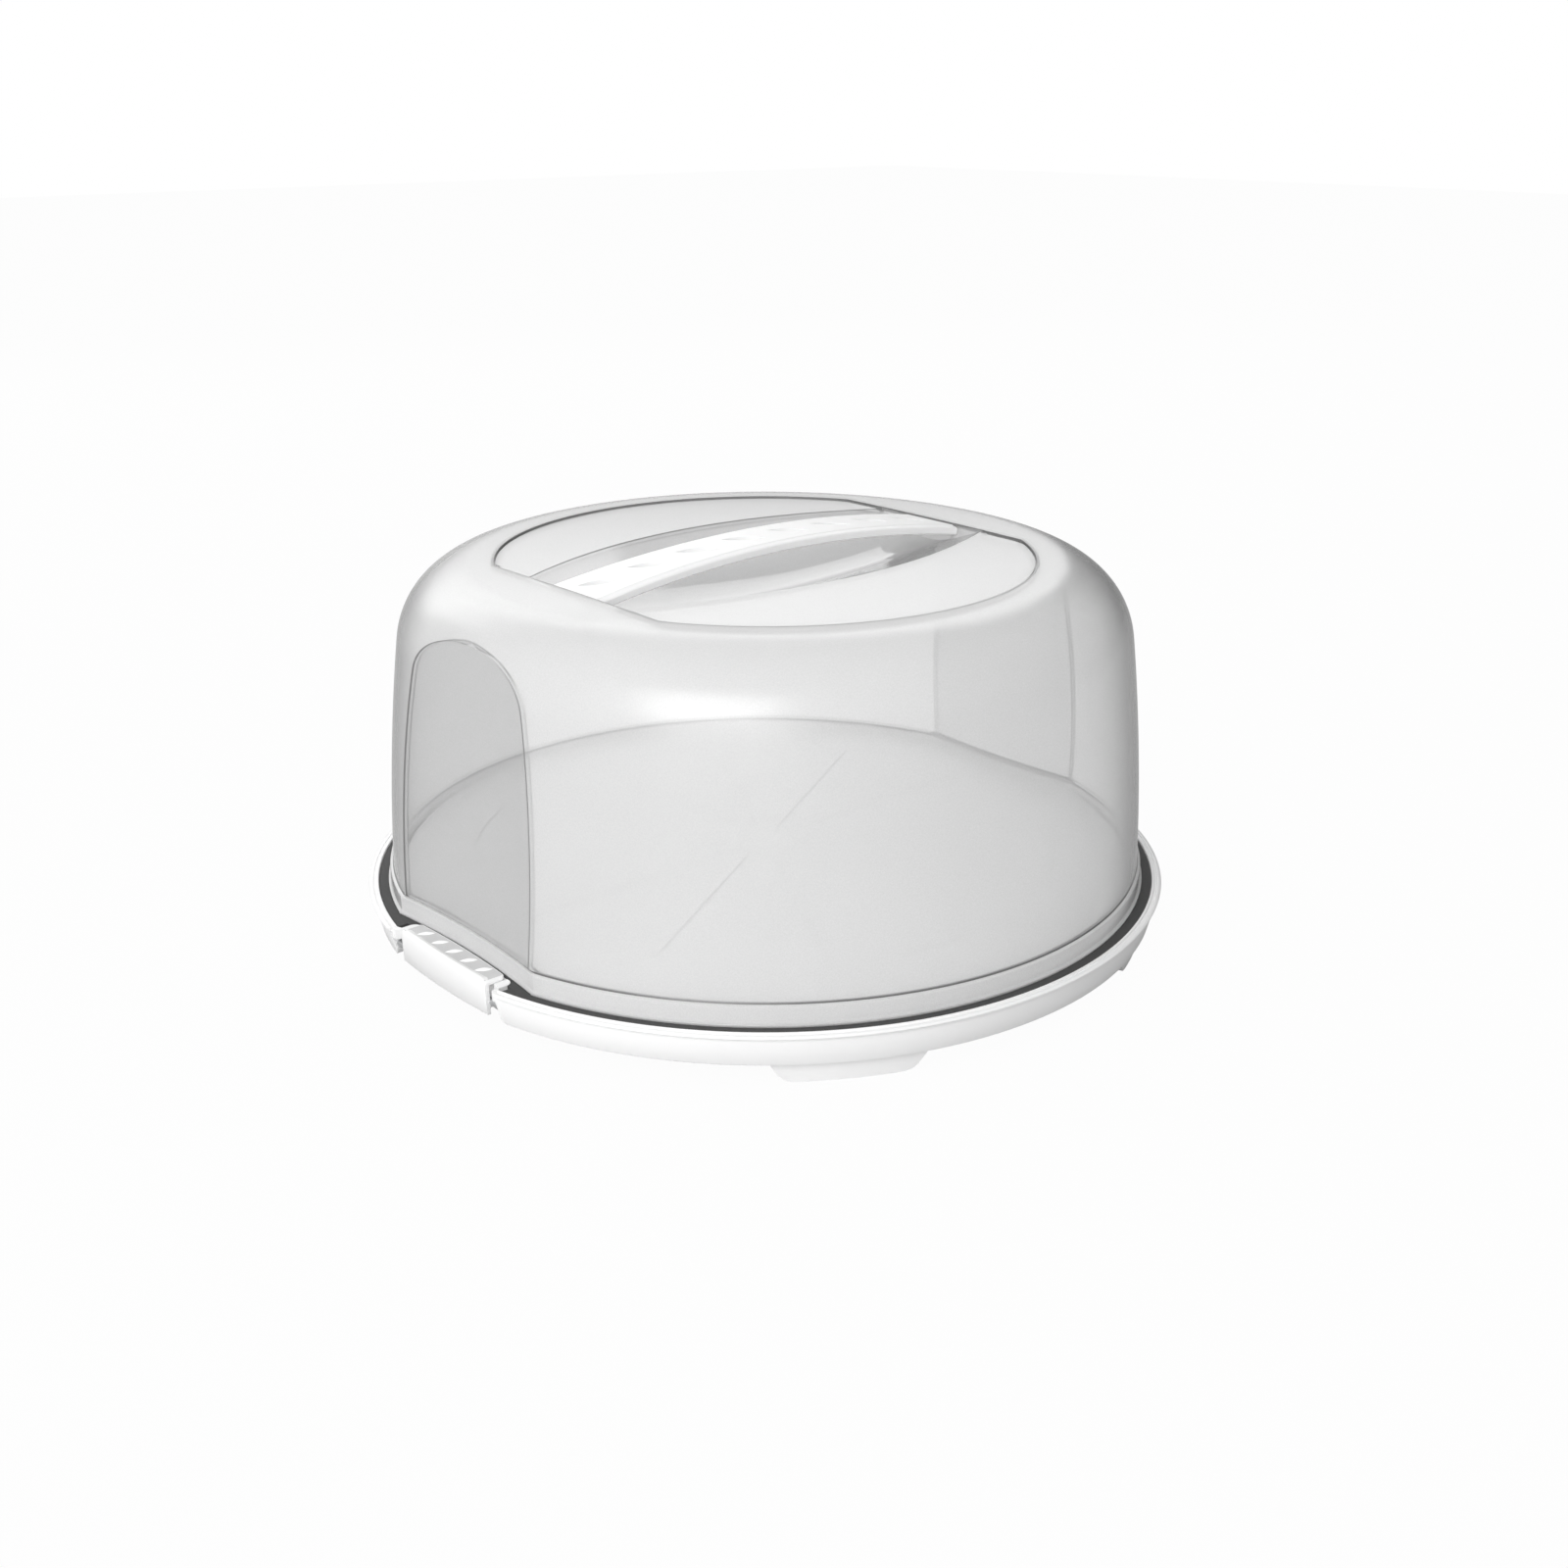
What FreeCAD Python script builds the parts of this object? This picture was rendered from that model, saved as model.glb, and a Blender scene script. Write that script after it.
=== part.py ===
import FreeCAD, Part
import math
import os

# Cake carrier, in millimetres.
# The origin is on the table under the middle of the tray. +Z is up.
# X runs through both latches and along the carrying handle.

# Overall sizes
tray_diameter = 355.0
overall_height = 165.0

# Tray: heights, from the table upwards
foot_height = 9.2
skirt_height = 12.9
rim_rise = 1.3
channel_depth = 2.8
plate_rise = 7.9
tray_wall = 2.2

# Tray: widths
rim_width = 4.2
skirt_taper = 3.6
plate_gap = 3.9
plate_edge_bevel = 2.0
rim_width_shares = (0.0, 0.22, 0.45, 0.72, 1.0)
rim_rise_shares = (0.75, 1.0, 0.5, 0.62, 0.0)

# Tray: feet and portion lines
foot_top_width = 63.0
foot_bottom_width = 52.0
foot_thickness = 6.0
foot_setback = 0.4
foot_round = 8.0
foot_angles = (60, 120, 240, 300)
portion_count = 12
portion_inner_radius = 18.0
portion_edge_gap = 30.8
portion_round = 7.0
groove_width = 0.9
groove_depth = 0.5

# Seal lying in the tray's channel
seal_thickness = 2.0
seal_clearance = 0.2

# Hood: lower edge
hood_wall = 1.9
lip_gap = 4.4
lip_width = 1.3
lip_height = 1.2
band_height = 9.0
band_step = 1.6
panel_step = 0.3
flat_radius = 420.0

# Hood: wall, shoulder and crown (angles in degrees)
wall_draft_low = 3.5
wall_draft_high = 9.7
shoulder_radius = 34.0
crown_slope = 1.85
panel_tilt = 5.2
outer_steps = (2, 6, 2)
inner_steps = (2, 3, 1)
outline_share = 0.679
outline_length_share = 0.594
outline_round = 8.0
outline_depth = 0.8

# Finger well under the handle
well_depth = 17.9
well_end_rise = 7.4
well_slope = 19.5
well_bottom_radius = 45.0

# Handle
handle_stand = 6.0
handle_thickness = 4.0
handle_middle_width = 30.0
handle_end_width = 34.0
handle_bevel = 1.3
handle_end_clearance = 0.3
slot_count = 8
slot_end_gap = 13.55
slot_length = 18.3
slot_width = 5.4
slot_angle = -31
tab_width = 28.0
tab_reach = 10.0
tab_thickness = 2.0
tab_round = 8.0
tab_clearance = 0.3

# Latches and their pins
latch_setback = 5.0
latch_depth = 12.2
latch_length = 63.0
latch_bow = 1.9
latch_plate = 1.7
latch_wall = 1.8
latch_gap = 1.6
latch_rise = 0.8
latch_bottom_gap = 0.9
latch_end_gap = 7.2
ridge_width = 3.0
ridge_height = 0.7
ridge_round = 1.6
mark_count = 5
mark_pitch = 10.8
mark_length = 7.0
mark_width = 2.2
mark_height = 0.6
mark_setback = 7.4
pin_radius = 1.6
pin_setback = 4.3
pin_rise = 6.0
pin_fit = 0.02
pin_running = 0.05
boss_wall = 1.6
ear_thickness = 2.5
seat_round = 4.0
pad_gap = 0.7
pad_width = 4.6
pad_drop = 0.4
pad_tip_gap = 4.0
pad_round = 1.4
pad_round_share = 0.45

# How far a cutting shape runs past what it cuts
overrun = 5.0

# Places that follow from the sizes above
rim_radius = tray_diameter / 2
rim_inner_radius = rim_radius - rim_width
skirt_bottom_z = foot_height
rim_edge_z = skirt_bottom_z + skirt_height
rim_top_z = rim_edge_z + rim_rise
channel_z = rim_top_z - channel_depth
floor_bottom_z = channel_z - tray_wall
plate_z = channel_z + plate_rise
seal_top_z = channel_z + seal_thickness
lip_radius = rim_inner_radius - lip_gap
band_radius = lip_radius - lip_width
wall_radius = band_radius - band_step
latch_half_span = rim_radius - latch_setback
flat_distance = latch_half_span - latch_depth - latch_gap
band_flat = flat_distance - lip_width
panel_flat = band_flat - panel_step
lip_top_z = seal_top_z + lip_height
band_top_z = seal_top_z + band_height
crown_z = overall_height - handle_stand
outline_radius = outline_share * wall_radius
outline_half_length = outline_length_share * wall_radius
plate_radius = band_radius - hood_wall - plate_gap
plate_flat = band_flat - hood_wall - plate_gap
portion_outer_radius = plate_radius - portion_edge_gap
slot_reach = outline_half_length - slot_end_gap
latch_inner = flat_distance + latch_gap
latch_top_z = rim_top_z + latch_rise
latch_under_z = latch_top_z - latch_plate
latch_bottom_z = skirt_bottom_z + latch_bottom_gap
pin_u = latch_half_span - pin_setback
pin_z = skirt_bottom_z + pin_rise
boss_radius = pin_radius + boss_wall
ear_inner = latch_length / 2 + latch_end_gap
ear_outer = ear_inner + ear_thickness
pad_inner = flat_distance + pad_gap
pad_outer = pad_inner + pad_width
pad_top_z = latch_under_z - pad_drop
pad_tip = ear_inner - pad_tip_gap
far = 2 * tray_diameter

AXIS_X = FreeCAD.Vector(1, 0, 0)
AXIS_Y = FreeCAD.Vector(0, 1, 0)
AXIS_Z = FreeCAD.Vector(0, 0, 1)
ORIGIN = FreeCAD.Vector(0, 0, 0)


def point(x, y, z):
    return FreeCAD.Vector(x, y, z)


def line(start, end):
    return Part.LineSegment(start, end).toShape()


def arc(start, middle, end):
    return Part.Arc(start, middle, end).toShape()


def face_of(edges):
    return Part.Face(Part.Wire(Part.__sortEdges__(edges)))


def outline_face(points):
    return Part.Face(Part.makePolygon(points + [points[0]]))


def disc(radius, low, high):
    return Part.makeCylinder(radius, high - low, point(0, 0, low))


def block(x_range, y_range, z_range):
    corner = point(x_range[0], y_range[0], z_range[0])
    return Part.makeBox(x_range[1] - x_range[0], y_range[1] - y_range[0], z_range[1] - z_range[0], corner)


def turned(shape, angle):
    return shape.rotated(ORIGIN, AXIS_Z, angle)


def both_ends(shape):
    """The same shape at the -X end and, turned half round, at the +X end."""
    return [shape, turned(shape, 180)]


def flat_cutter(distance, tilt, foot_z, inset):
    """Large cylinder whose side makes the hollow flat at the -X end.

    The flat is at the given distance from the middle at foot_z and leans in by tilt as it rises.
    A positive inset moves the flat towards the middle.
    """
    lean = math.radians(tilt)
    direction = point(math.sin(lean), 0, math.cos(lean))
    middle = point(-distance - flat_radius / math.cos(lean), 0, foot_z)
    start = middle - direction * far
    return Part.makeCylinder(flat_radius + inset, 2 * far, start, direction)


def flat_cutter_outside(distance):
    """Everything on the hood's side of a flat at the given distance."""
    slab = block((-distance - flat_radius, 0), (-flat_radius / 2, flat_radius / 2), (-far, far))
    return slab.cut(Part.makeCylinder(flat_radius, 2 * far, point(-distance - flat_radius, 0, -far)))


def with_flats(shape, distance, tilt=0, foot_z=0, inset=0):
    return shape.cut(both_ends(flat_cutter(distance, tilt, foot_z, inset)))


def lens(length, width, low, high):
    """Pointed oval with its long axis on X."""
    left = point(-length / 2, 0, low)
    right = point(length / 2, 0, low)
    edges = [arc(left, point(0, width / 2, low), right), arc(right, point(0, -width / 2, low), left)]
    return face_of(edges).extrude(point(0, 0, high - low))


def save(shape, name):
    os.makedirs("parts", exist_ok=True)
    solid = shape.Solids[0] if len(shape.Solids) == 1 else Part.makeCompound(shape.Solids)
    solid.exportStep("parts/" + name + ".step")
    print(name, "solids", len(solid.Solids), "volume", round(solid.Volume), "valid", solid.isValid())


# Tray

def rim_points():
    points = []
    for width_share, rise_share in zip(rim_width_shares, rim_rise_shares):
        radius = rim_inner_radius + rim_width * width_share
        points.append(point(radius, 0, rim_edge_z + rim_rise * rise_share))
    return points


def rim_ring():
    """Ribbed rim with the tapered skirt that hangs from it."""
    skirt_low = point(rim_radius - skirt_taper, 0, skirt_bottom_z)
    inside_low = skirt_low - point(tray_wall, 0, 0)
    inside_high = point(rim_radius - tray_wall, 0, floor_bottom_z)
    inner = rim_inner_radius - tray_wall
    points = rim_points() + [skirt_low, inside_low, inside_high]
    points += [point(inner, 0, floor_bottom_z), point(inner, 0, channel_z)]
    points.append(point(rim_inner_radius, 0, channel_z))
    return outline_face(points).revolve(ORIGIN, AXIS_Z, 360)


def rim_core():
    """The rim and skirt filled in, which the ears are cut from."""
    skirt_low = point(rim_radius - skirt_taper, 0, skirt_bottom_z)
    core_radius = pin_u - boss_radius
    points = rim_points() + [skirt_low, point(core_radius, 0, skirt_bottom_z)]
    points += [point(core_radius, 0, channel_z), point(rim_inner_radius, 0, channel_z)]
    return outline_face(points).revolve(ORIGIN, AXIS_Z, 360)


def plate_body(inset, low, high):
    return with_flats(disc(plate_radius - inset, low, high), plate_flat - inset)


def foot(angle):
    """Low curved foot under the skirt, with ends that round up into it."""
    top_z = floor_bottom_z
    reach = (foot_top_width - foot_bottom_width) / 2
    slope = reach / foot_height
    high = foot_bottom_width / 2 + slope * top_z
    outer = rim_radius - skirt_taper - foot_setback
    profile = [point(0, -high, top_z), point(0, -foot_bottom_width / 2, 0)]
    profile += [point(0, foot_bottom_width / 2, 0), point(0, high, top_z)]
    slab = outline_face(profile).extrude(point(outer + overrun, 0, 0))
    low_edges = [edge for edge in slab.Edges
                 if abs(edge.CenterOfMass.z) < foot_setback and edge.Length > outer]
    slab = slab.makeFillet(foot_round, low_edges)
    ring = disc(outer, 0, top_z).cut(disc(outer - foot_thickness, 0, top_z))
    return turned(slab.common(ring), angle)


def portion_groove(angle):
    """Outline of one cake portion, sunk in the plate."""
    span = 360 / portion_count

    def petal(inset):
        radius = portion_outer_radius - inset
        wedge = disc(radius, plate_z - groove_depth, plate_z + overrun).cut(disc(
            portion_inner_radius + inset, plate_z - groove_depth - overrun, plate_z + 2 * overrun))
        side = block((-far, far), (-far, inset), (-overrun, far))
        wedge = wedge.cut([side, turned(side, 180 + span)])
        return turned(wedge.common(block((0, far), (0, far), (-overrun, far))), angle)

    outer = petal(0)
    corners = [edge for edge in outer.Edges if abs(edge.tangentAt(edge.FirstParameter).z) > 0.5
               and math.hypot(edge.CenterOfMass.x, edge.CenterOfMass.y) > portion_outer_radius / 2]
    inner = petal(groove_width)
    inner_corners = [edge for edge in inner.Edges if abs(edge.tangentAt(edge.FirstParameter).z) > 0.5
                     and math.hypot(edge.CenterOfMass.x, edge.CenterOfMass.y) > portion_outer_radius / 2]
    return outer.makeFillet(portion_round, corners).cut(
        inner.makeFillet(portion_round - groove_width, inner_corners))


def latch_seat():
    """Opening in the rim for the latch at the -X end."""
    return block((-far, -pad_outer), (-ear_inner, ear_inner), (-overrun, overall_height))


def seat_corner(side):
    """Rounds the skirt's lower corner at one side of the opening."""
    low, high = sorted((side * ear_inner, side * (ear_inner + seat_round)))
    inner = pin_u - boss_radius - overrun
    corner = block((-far, -inner), (low, high), (skirt_bottom_z - seat_round, skirt_bottom_z + seat_round))
    centre = point(-far - overrun, side * (ear_inner + seat_round), skirt_bottom_z + seat_round)
    return corner.cut(Part.makeCylinder(seat_round, 2 * far, centre, AXIS_X))


def ears():
    """End walls of the opening, which carry the pin."""
    core = rim_core()
    near = core.common(block((-far, 0), (ear_inner, ear_outer), (-overrun, overall_height)))
    other = core.common(block((-far, 0), (-ear_outer, -ear_inner), (-overrun, overall_height)))
    return [near, other]


def pin_rod(radius):
    return Part.makeCylinder(radius, 2 * ear_outer, point(-pin_u, -ear_outer, pin_z), AXIS_Y)


def pad():
    """Raised kerb between the hood's flat and the latch, with tips rounded as far as their width allows."""
    tip_width = pad_width - flat_radius + math.sqrt(flat_radius ** 2 - pad_tip ** 2)
    tip_round = min(pad_round, pad_round_share * tip_width)
    kerb = block((-pad_outer, 0), (-pad_tip, pad_tip), (floor_bottom_z, pad_top_z))
    kerb = kerb.cut(flat_cutter_outside(pad_inner))
    upright = [edge for edge in kerb.Edges if abs(edge.BoundBox.ZLength - kerb.BoundBox.ZLength) < pin_fit]
    return kerb.makeFillet(tip_round, upright)


def make_tray():
    floor = disc(rim_inner_radius, floor_bottom_z, channel_z)
    tray = rim_ring().fuse([floor, plate_body(0, floor_bottom_z, plate_z)]).removeSplitter()
    top_edges = [edge for edge in tray.Edges if abs(edge.BoundBox.ZMin - plate_z) < pin_fit
                 and abs(edge.BoundBox.ZMax - plate_z) < pin_fit]
    tray = tray.makeChamfer(plate_edge_bevel, top_edges)
    tray = tray.cut(plate_body(tray_wall, floor_bottom_z - overrun, plate_z - tray_wall))
    tray = tray.fuse([foot(angle) for angle in foot_angles])
    for index in range(0, portion_count, 2):
        tray = tray.cut(portion_groove(index * 360 / portion_count))
    for end in (0, 180):
        tray = tray.cut(turned(latch_seat(), end))
        tray = tray.fuse([turned(piece, end) for piece in ears() + [pad()]])
        tray = tray.cut([turned(seat_corner(side), end) for side in (-1, 1)])
        tray = tray.cut(turned(pin_rod(pin_radius + pin_fit), end))
    side = ear_outer + ear_thickness
    beyond = block((-far, -latch_half_span), (-side, side), (-far, far))
    return tray.cut(both_ends(beyond))


# Seal

def make_seal():
    outer = disc(rim_inner_radius - seal_clearance, channel_z, seal_top_z)
    inner = plate_body(-seal_clearance, channel_z - overrun, seal_top_z + overrun)
    pad_half = pad_tip + seal_clearance
    seat_half = ear_inner + seal_clearance
    pad_room = block((-far, 0), (-pad_half, pad_half), (0, overall_height))
    pad_room = pad_room.cut(flat_cutter_outside(pad_inner - seal_clearance))
    seat_room = block((-far, -pad_outer + seal_clearance), (-seat_half, seat_half), (0, overall_height))
    return outer.cut([inner] + both_ends(pad_room) + both_ends(seat_room))


# Hood

def hood_junctions():
    """Points where the wall, shoulder and crown arcs meet, with the angle of the surface there."""
    low = math.radians(wall_draft_low)
    high = math.radians(wall_draft_high)
    slope = math.radians(crown_slope)
    lean = math.tan((low + high) / 2)
    crown_rise_per_radius = math.tan(slope / 2)
    shoulder_rise = shoulder_radius * (math.cos(slope) - math.sin(high))
    shoulder_reach = shoulder_radius * (math.cos(high) - math.sin(slope))
    to_crown = crown_z - band_top_z - shoulder_rise - crown_rise_per_radius * (wall_radius - shoulder_reach)
    wall_height = to_crown / (1 - crown_rise_per_radius * lean)
    base = point(wall_radius, 0, band_top_z)
    wall_top = base + point(-lean * wall_height, 0, wall_height)
    crown_edge = wall_top + point(-shoulder_reach, 0, shoulder_rise)
    return base, wall_top, crown_edge


def outward(angle):
    return point(math.cos(angle), 0, math.sin(angle))


def crown_radius():
    return hood_junctions()[2].x / math.sin(math.radians(crown_slope))


def crown_height_at(radius):
    return crown_z - crown_radius() + math.sqrt(crown_radius() ** 2 - radius ** 2)


def hood_form(inset, steps):
    """Solid inside the hood's outer skin, or inside its inner skin when inset by the wall.

    Wall, shoulder and crown are arcs, each drawn in a number of short straight steps.
    """
    angles = [math.radians(value) for value in (wall_draft_low, wall_draft_high, 90 - crown_slope, 90)]
    ends = hood_junctions() + (point(0, 0, crown_z),)
    ends = [spot - outward(angle) * inset for spot, angle in zip(ends, angles)]
    points = [point(0, 0, seal_top_z), point(ends[0].x, 0, seal_top_z), ends[0]]
    for index, count in enumerate(steps):
        turn = angles[index + 1] - angles[index]
        radius = (ends[index + 1] - ends[index]).Length / (2 * math.sin(turn / 2))
        middle = ends[index] - outward(angles[index]) * radius
        for step in range(1, count):
            points.append(middle + outward(angles[index] + turn * step / count) * radius)
        points.append(ends[index + 1])
    return outline_face(points).revolve(ORIGIN, AXIS_Z, 360)


def well(grow):
    """Boat-shaped finger well, or the space its underside takes when grown by the wall."""
    floor_z = crown_z - well_depth
    slope = math.radians(well_slope)
    radius = well_bottom_radius + grow
    centre_z = floor_z + well_bottom_radius
    side_y = radius * math.sin(slope)
    side_z = centre_z - radius * math.cos(slope)
    top_z = crown_z + overrun
    top_y = side_y + (top_z - side_z) / math.tan(slope)
    left_low, right_low = point(0, -side_y, side_z), point(0, side_y, side_z)
    left_top, right_top = point(0, -top_y, top_z), point(0, top_y, top_z)
    edges = [arc(left_low, point(0, 0, centre_z - radius), right_low), line(right_low, right_top)]
    edges += [line(right_top, left_top), line(left_top, left_low)]
    sweep_radius = (outline_half_length ** 2 + well_end_rise ** 2) / (2 * well_end_rise)
    pivot = point(0, 0, floor_z + sweep_radius)
    half_angle = math.degrees(math.asin((outline_half_length + overrun) / sweep_radius))
    start = face_of(edges).rotated(pivot, AXIS_Y, -half_angle)
    boat = start.revolve(pivot, AXIS_Y, 2 * half_angle)
    reach = outline_half_length + grow
    return boat.common(block((-reach, reach), (-far, far), (0, far)))


def top_outline():
    """Round panel on the crown, cut straight at the handle's ends."""
    panel = disc(outline_radius, seal_top_z, crown_z + overrun)
    panel = panel.common(block((-outline_half_length, outline_half_length), (-far, far), (0, far)))
    upright = [edge for edge in panel.Edges if abs(edge.BoundBox.ZLength - panel.BoundBox.ZLength) < pin_fit
               and abs(abs(edge.CenterOfMass.x) - outline_half_length) < pin_fit]
    return panel.makeFillet(outline_round, upright)


def tab_top():
    skin = crown_height_at(math.hypot(outline_half_length + tab_reach, tab_width / 2)) - hood_wall
    return skin - tab_clearance


def tab_window():
    """Opening in the well's end wall for the handle's tab at the -X end."""
    half = tab_width / 2 + tab_clearance
    low = tab_top() - tab_thickness - tab_clearance
    return block((-outline_half_length - tab_reach - overrun, -outline_half_length + overrun), (-half, half),
                 (low, tab_top() + tab_clearance))


def make_hood():
    lip = with_flats(disc(lip_radius, seal_top_z, lip_top_z), flat_distance)
    band = with_flats(disc(band_radius, seal_top_z, band_top_z), band_flat)
    skin = hood_form(0, outer_steps)
    sunk = top_outline().common(skin.cut(skin.translated(point(0, 0, -outline_depth))))
    outside = with_flats(skin.cut(sunk), panel_flat, panel_tilt, band_top_z)
    outside = outside.cut(well(0)).fuse([lip, band])
    band_room = with_flats(disc(band_radius - hood_wall, seal_top_z - overrun, band_top_z - hood_wall),
                           band_flat - hood_wall)
    wall_room = with_flats(hood_form(hood_wall, inner_steps), panel_flat, panel_tilt, band_top_z, hood_wall)
    wall_room = wall_room.cut(well(hood_wall))
    hood = outside.cut([band_room, wall_room])
    return hood.cut(both_ends(tab_window()))


# Handle

def handle_plan(inset):
    """Strap outline seen from above, drawn in along both sides."""
    reach = outline_half_length - handle_end_clearance
    end = handle_end_width / 2 - inset
    middle = handle_middle_width / 2 - inset
    corners = [point(x, y, 0) for x, y in ((-reach, -end), (reach, -end), (reach, end), (-reach, end))]
    edges = [arc(corners[0], point(0, -middle, 0), corners[1]), line(corners[1], corners[2])]
    edges += [arc(corners[2], point(0, middle, 0), corners[3]), line(corners[3], corners[0])]
    return face_of(edges).extrude(point(0, 0, overall_height + overrun))


def arch(rise, thickness):
    """Shallow arch across the whole width: its top is rise below the handle's crest."""
    reach = outline_half_length
    end_z = crown_height_at(reach) - outline_depth
    sagitta = overall_height - end_z
    radius = (reach ** 2 + sagitta ** 2) / (2 * sagitta)
    centre = point(0, -far, overall_height - radius)
    outer = Part.makeCylinder(radius - rise, 2 * far, centre, AXIS_Y)
    return outer.cut(Part.makeCylinder(radius - thickness, 2 * far, centre, AXIS_Y))


def make_handle():
    lower = handle_plan(0).common(arch(handle_bevel, handle_thickness))
    upper = handle_plan(2 * handle_bevel).common(arch(0, handle_thickness))
    strap = lower.fuse(upper)
    slots = []
    for index in range(slot_count):
        slot = lens(slot_length, slot_width, 0, overall_height + overrun)
        slot = turned(slot, slot_angle)
        slots.append(slot.translated(point(slot_reach * (2 * index / (slot_count - 1) - 1), 0, 0)))
    strap = strap.cut(slots)
    root = outline_half_length - handle_end_clearance - handle_thickness
    tab = block((-outline_half_length - tab_reach, -root), (-tab_width / 2, tab_width / 2),
                (tab_top() - tab_thickness, tab_top()))
    tips = [edge for edge in tab.Edges if abs(edge.BoundBox.ZLength - tab_thickness) < pin_fit
            and abs(edge.CenterOfMass.x + outline_half_length + tab_reach) < pin_fit]
    return strap.fuse(both_ends(tab.makeFillet(tab_round, tips)))


# Latches

def latch_blank(inset, low, high):
    """Latch outline seen from above: bowed outer face, inner edge along the hood's flat."""
    half = latch_length / 2 - inset
    bow_radius = ((latch_length / 2) ** 2 + latch_bow ** 2) / (2 * latch_bow)
    front = Part.makeCylinder(bow_radius - inset, high - low, point(bow_radius - latch_half_span, 0, low))
    blank = front.common(block((-far, 0), (-half, half), (low, high)))
    return blank.cut(flat_cutter_outside(latch_inner + inset))


def latch_side(y_low):
    """End wall of the latch, with a round boss for the pin."""
    inner = pin_u - boss_radius
    profile = [point(-inner, y_low, latch_under_z), point(-far, y_low, latch_under_z)]
    profile.append(point(-far, y_low, latch_bottom_z))
    profile.append(point(-latch_half_span + latch_wall, y_low, latch_bottom_z))
    profile += [point(-pin_u, y_low, pin_z - boss_radius), point(-pin_u, y_low, pin_z)]
    profile.append(point(-inner, y_low, pin_z))
    web = outline_face(profile).extrude(point(0, latch_wall, 0))
    boss = Part.makeCylinder(boss_radius, latch_wall, point(-pin_u, y_low, pin_z), AXIS_Y)
    return web.fuse(boss).common(latch_blank(0, 0, overall_height))


def make_latch():
    plate = latch_blank(0, latch_under_z, latch_top_z)
    shell = latch_blank(0, latch_bottom_z, latch_top_z)
    front = shell.cut(shell.translated(point(latch_wall, 0, 0)))
    front = front.common(block((-far, -pin_u), (-far, far), (0, overall_height)))
    half = latch_length / 2
    latch = plate.fuse([front, latch_side(-half), latch_side(half - latch_wall)])
    ridge = latch_blank(0, latch_top_z, latch_top_z + ridge_height)
    ridge = ridge.cut(ridge.translated(point(ridge_width, 0, 0)))
    ridge = ridge.common(block((-far, -pin_u), (-far, far), (0, overall_height)))
    latch = latch.fuse(ridge).removeSplitter()
    ridge_edges = [edge for edge in latch.Edges if edge.BoundBox.ZMin > latch_top_z + ridge_height - pin_fit
                   and edge.BoundBox.XMin < -latch_half_span + pin_fit]
    latch = latch.makeFillet(ridge_round, ridge_edges)
    marks = []
    for index in range(mark_count):
        mark = turned(lens(mark_length, mark_width, latch_top_z, latch_top_z + mark_height), slot_angle)
        offset = (index - (mark_count - 1) / 2) * mark_pitch
        marks.append(mark.translated(point(-latch_half_span + mark_setback, offset, 0)))
    latch = latch.fuse(marks)
    return latch.cut(pin_rod(pin_radius + pin_running))


# Assembly

save(make_tray().removeSplitter(), "base_tray")
save(make_seal().removeSplitter(), "seal_ring")
save(make_hood().removeSplitter(), "hood")
save(make_handle().removeSplitter(), "carry_handle")
latch_solid = make_latch().removeSplitter()
pin_solid = pin_rod(pin_radius)
save(latch_solid, "latch_left")
save(turned(latch_solid, 180), "latch_right")
save(pin_solid, "latch_pin_left")
save(turned(pin_solid, 180), "latch_pin_right")
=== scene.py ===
# %% [markdown]
# # A cake carrier
# The carrier is a white moulded tray, a milky clear hood with a handle in its crown, and two rocking
# latches in the rim. The construction model gives the frame: every piece here sits in that frame, and the
# smooth mesh pieces below stand for the plainer solids.

# %% Open the frame
import math

import bmesh
import bpy
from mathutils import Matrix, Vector


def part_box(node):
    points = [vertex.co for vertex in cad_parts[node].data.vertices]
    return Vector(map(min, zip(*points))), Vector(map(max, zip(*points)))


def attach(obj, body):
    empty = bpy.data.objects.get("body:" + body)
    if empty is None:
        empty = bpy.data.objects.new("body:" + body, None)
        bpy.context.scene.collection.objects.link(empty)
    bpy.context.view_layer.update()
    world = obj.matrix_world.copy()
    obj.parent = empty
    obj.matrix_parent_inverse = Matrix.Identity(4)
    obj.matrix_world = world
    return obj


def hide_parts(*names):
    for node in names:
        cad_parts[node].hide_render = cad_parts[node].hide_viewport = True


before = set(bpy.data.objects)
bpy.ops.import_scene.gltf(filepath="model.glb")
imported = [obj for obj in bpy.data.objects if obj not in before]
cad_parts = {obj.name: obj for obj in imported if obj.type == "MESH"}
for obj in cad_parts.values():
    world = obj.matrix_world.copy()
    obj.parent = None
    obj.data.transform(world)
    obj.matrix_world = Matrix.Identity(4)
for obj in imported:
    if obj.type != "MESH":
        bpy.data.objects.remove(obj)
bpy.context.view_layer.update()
print("nodes:", sorted(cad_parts))

# %% [markdown]
# ## Sizes
# All sizes are in millimetres, the unit of a moulding drawing, and one factor turns them into metres when a
# mesh is made. The outer reach comes from the frame, so that the smooth pieces end where the solids end. A
# box of the frame is a pair: its lowest corner, then its highest.

# %% Sizes taken from the frame
MM = 0.001
tray_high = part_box("base_tray")[1]
rim_radius = tray_high.y / MM
plate_z = tray_high.z / MM
lip_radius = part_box("hood")[1].y / MM
crest_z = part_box("carry_handle")[1].z / MM
latch_front = -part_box("latch_left")[0].x / MM
seal_top_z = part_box("seal_ring")[1].z / MM
print("rim radius", rim_radius, "latch front", latch_front, "crest", crest_z)

# %% [markdown]
# The hood needs more sizes than its box gives. A lip stands out from an upright band; above the band the
# wall leans in, more so towards the top, and a tight shoulder leads to the shallow crown. What depends on
# other sizes is worked out from them, so that one changed size carries the rest along.

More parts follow.
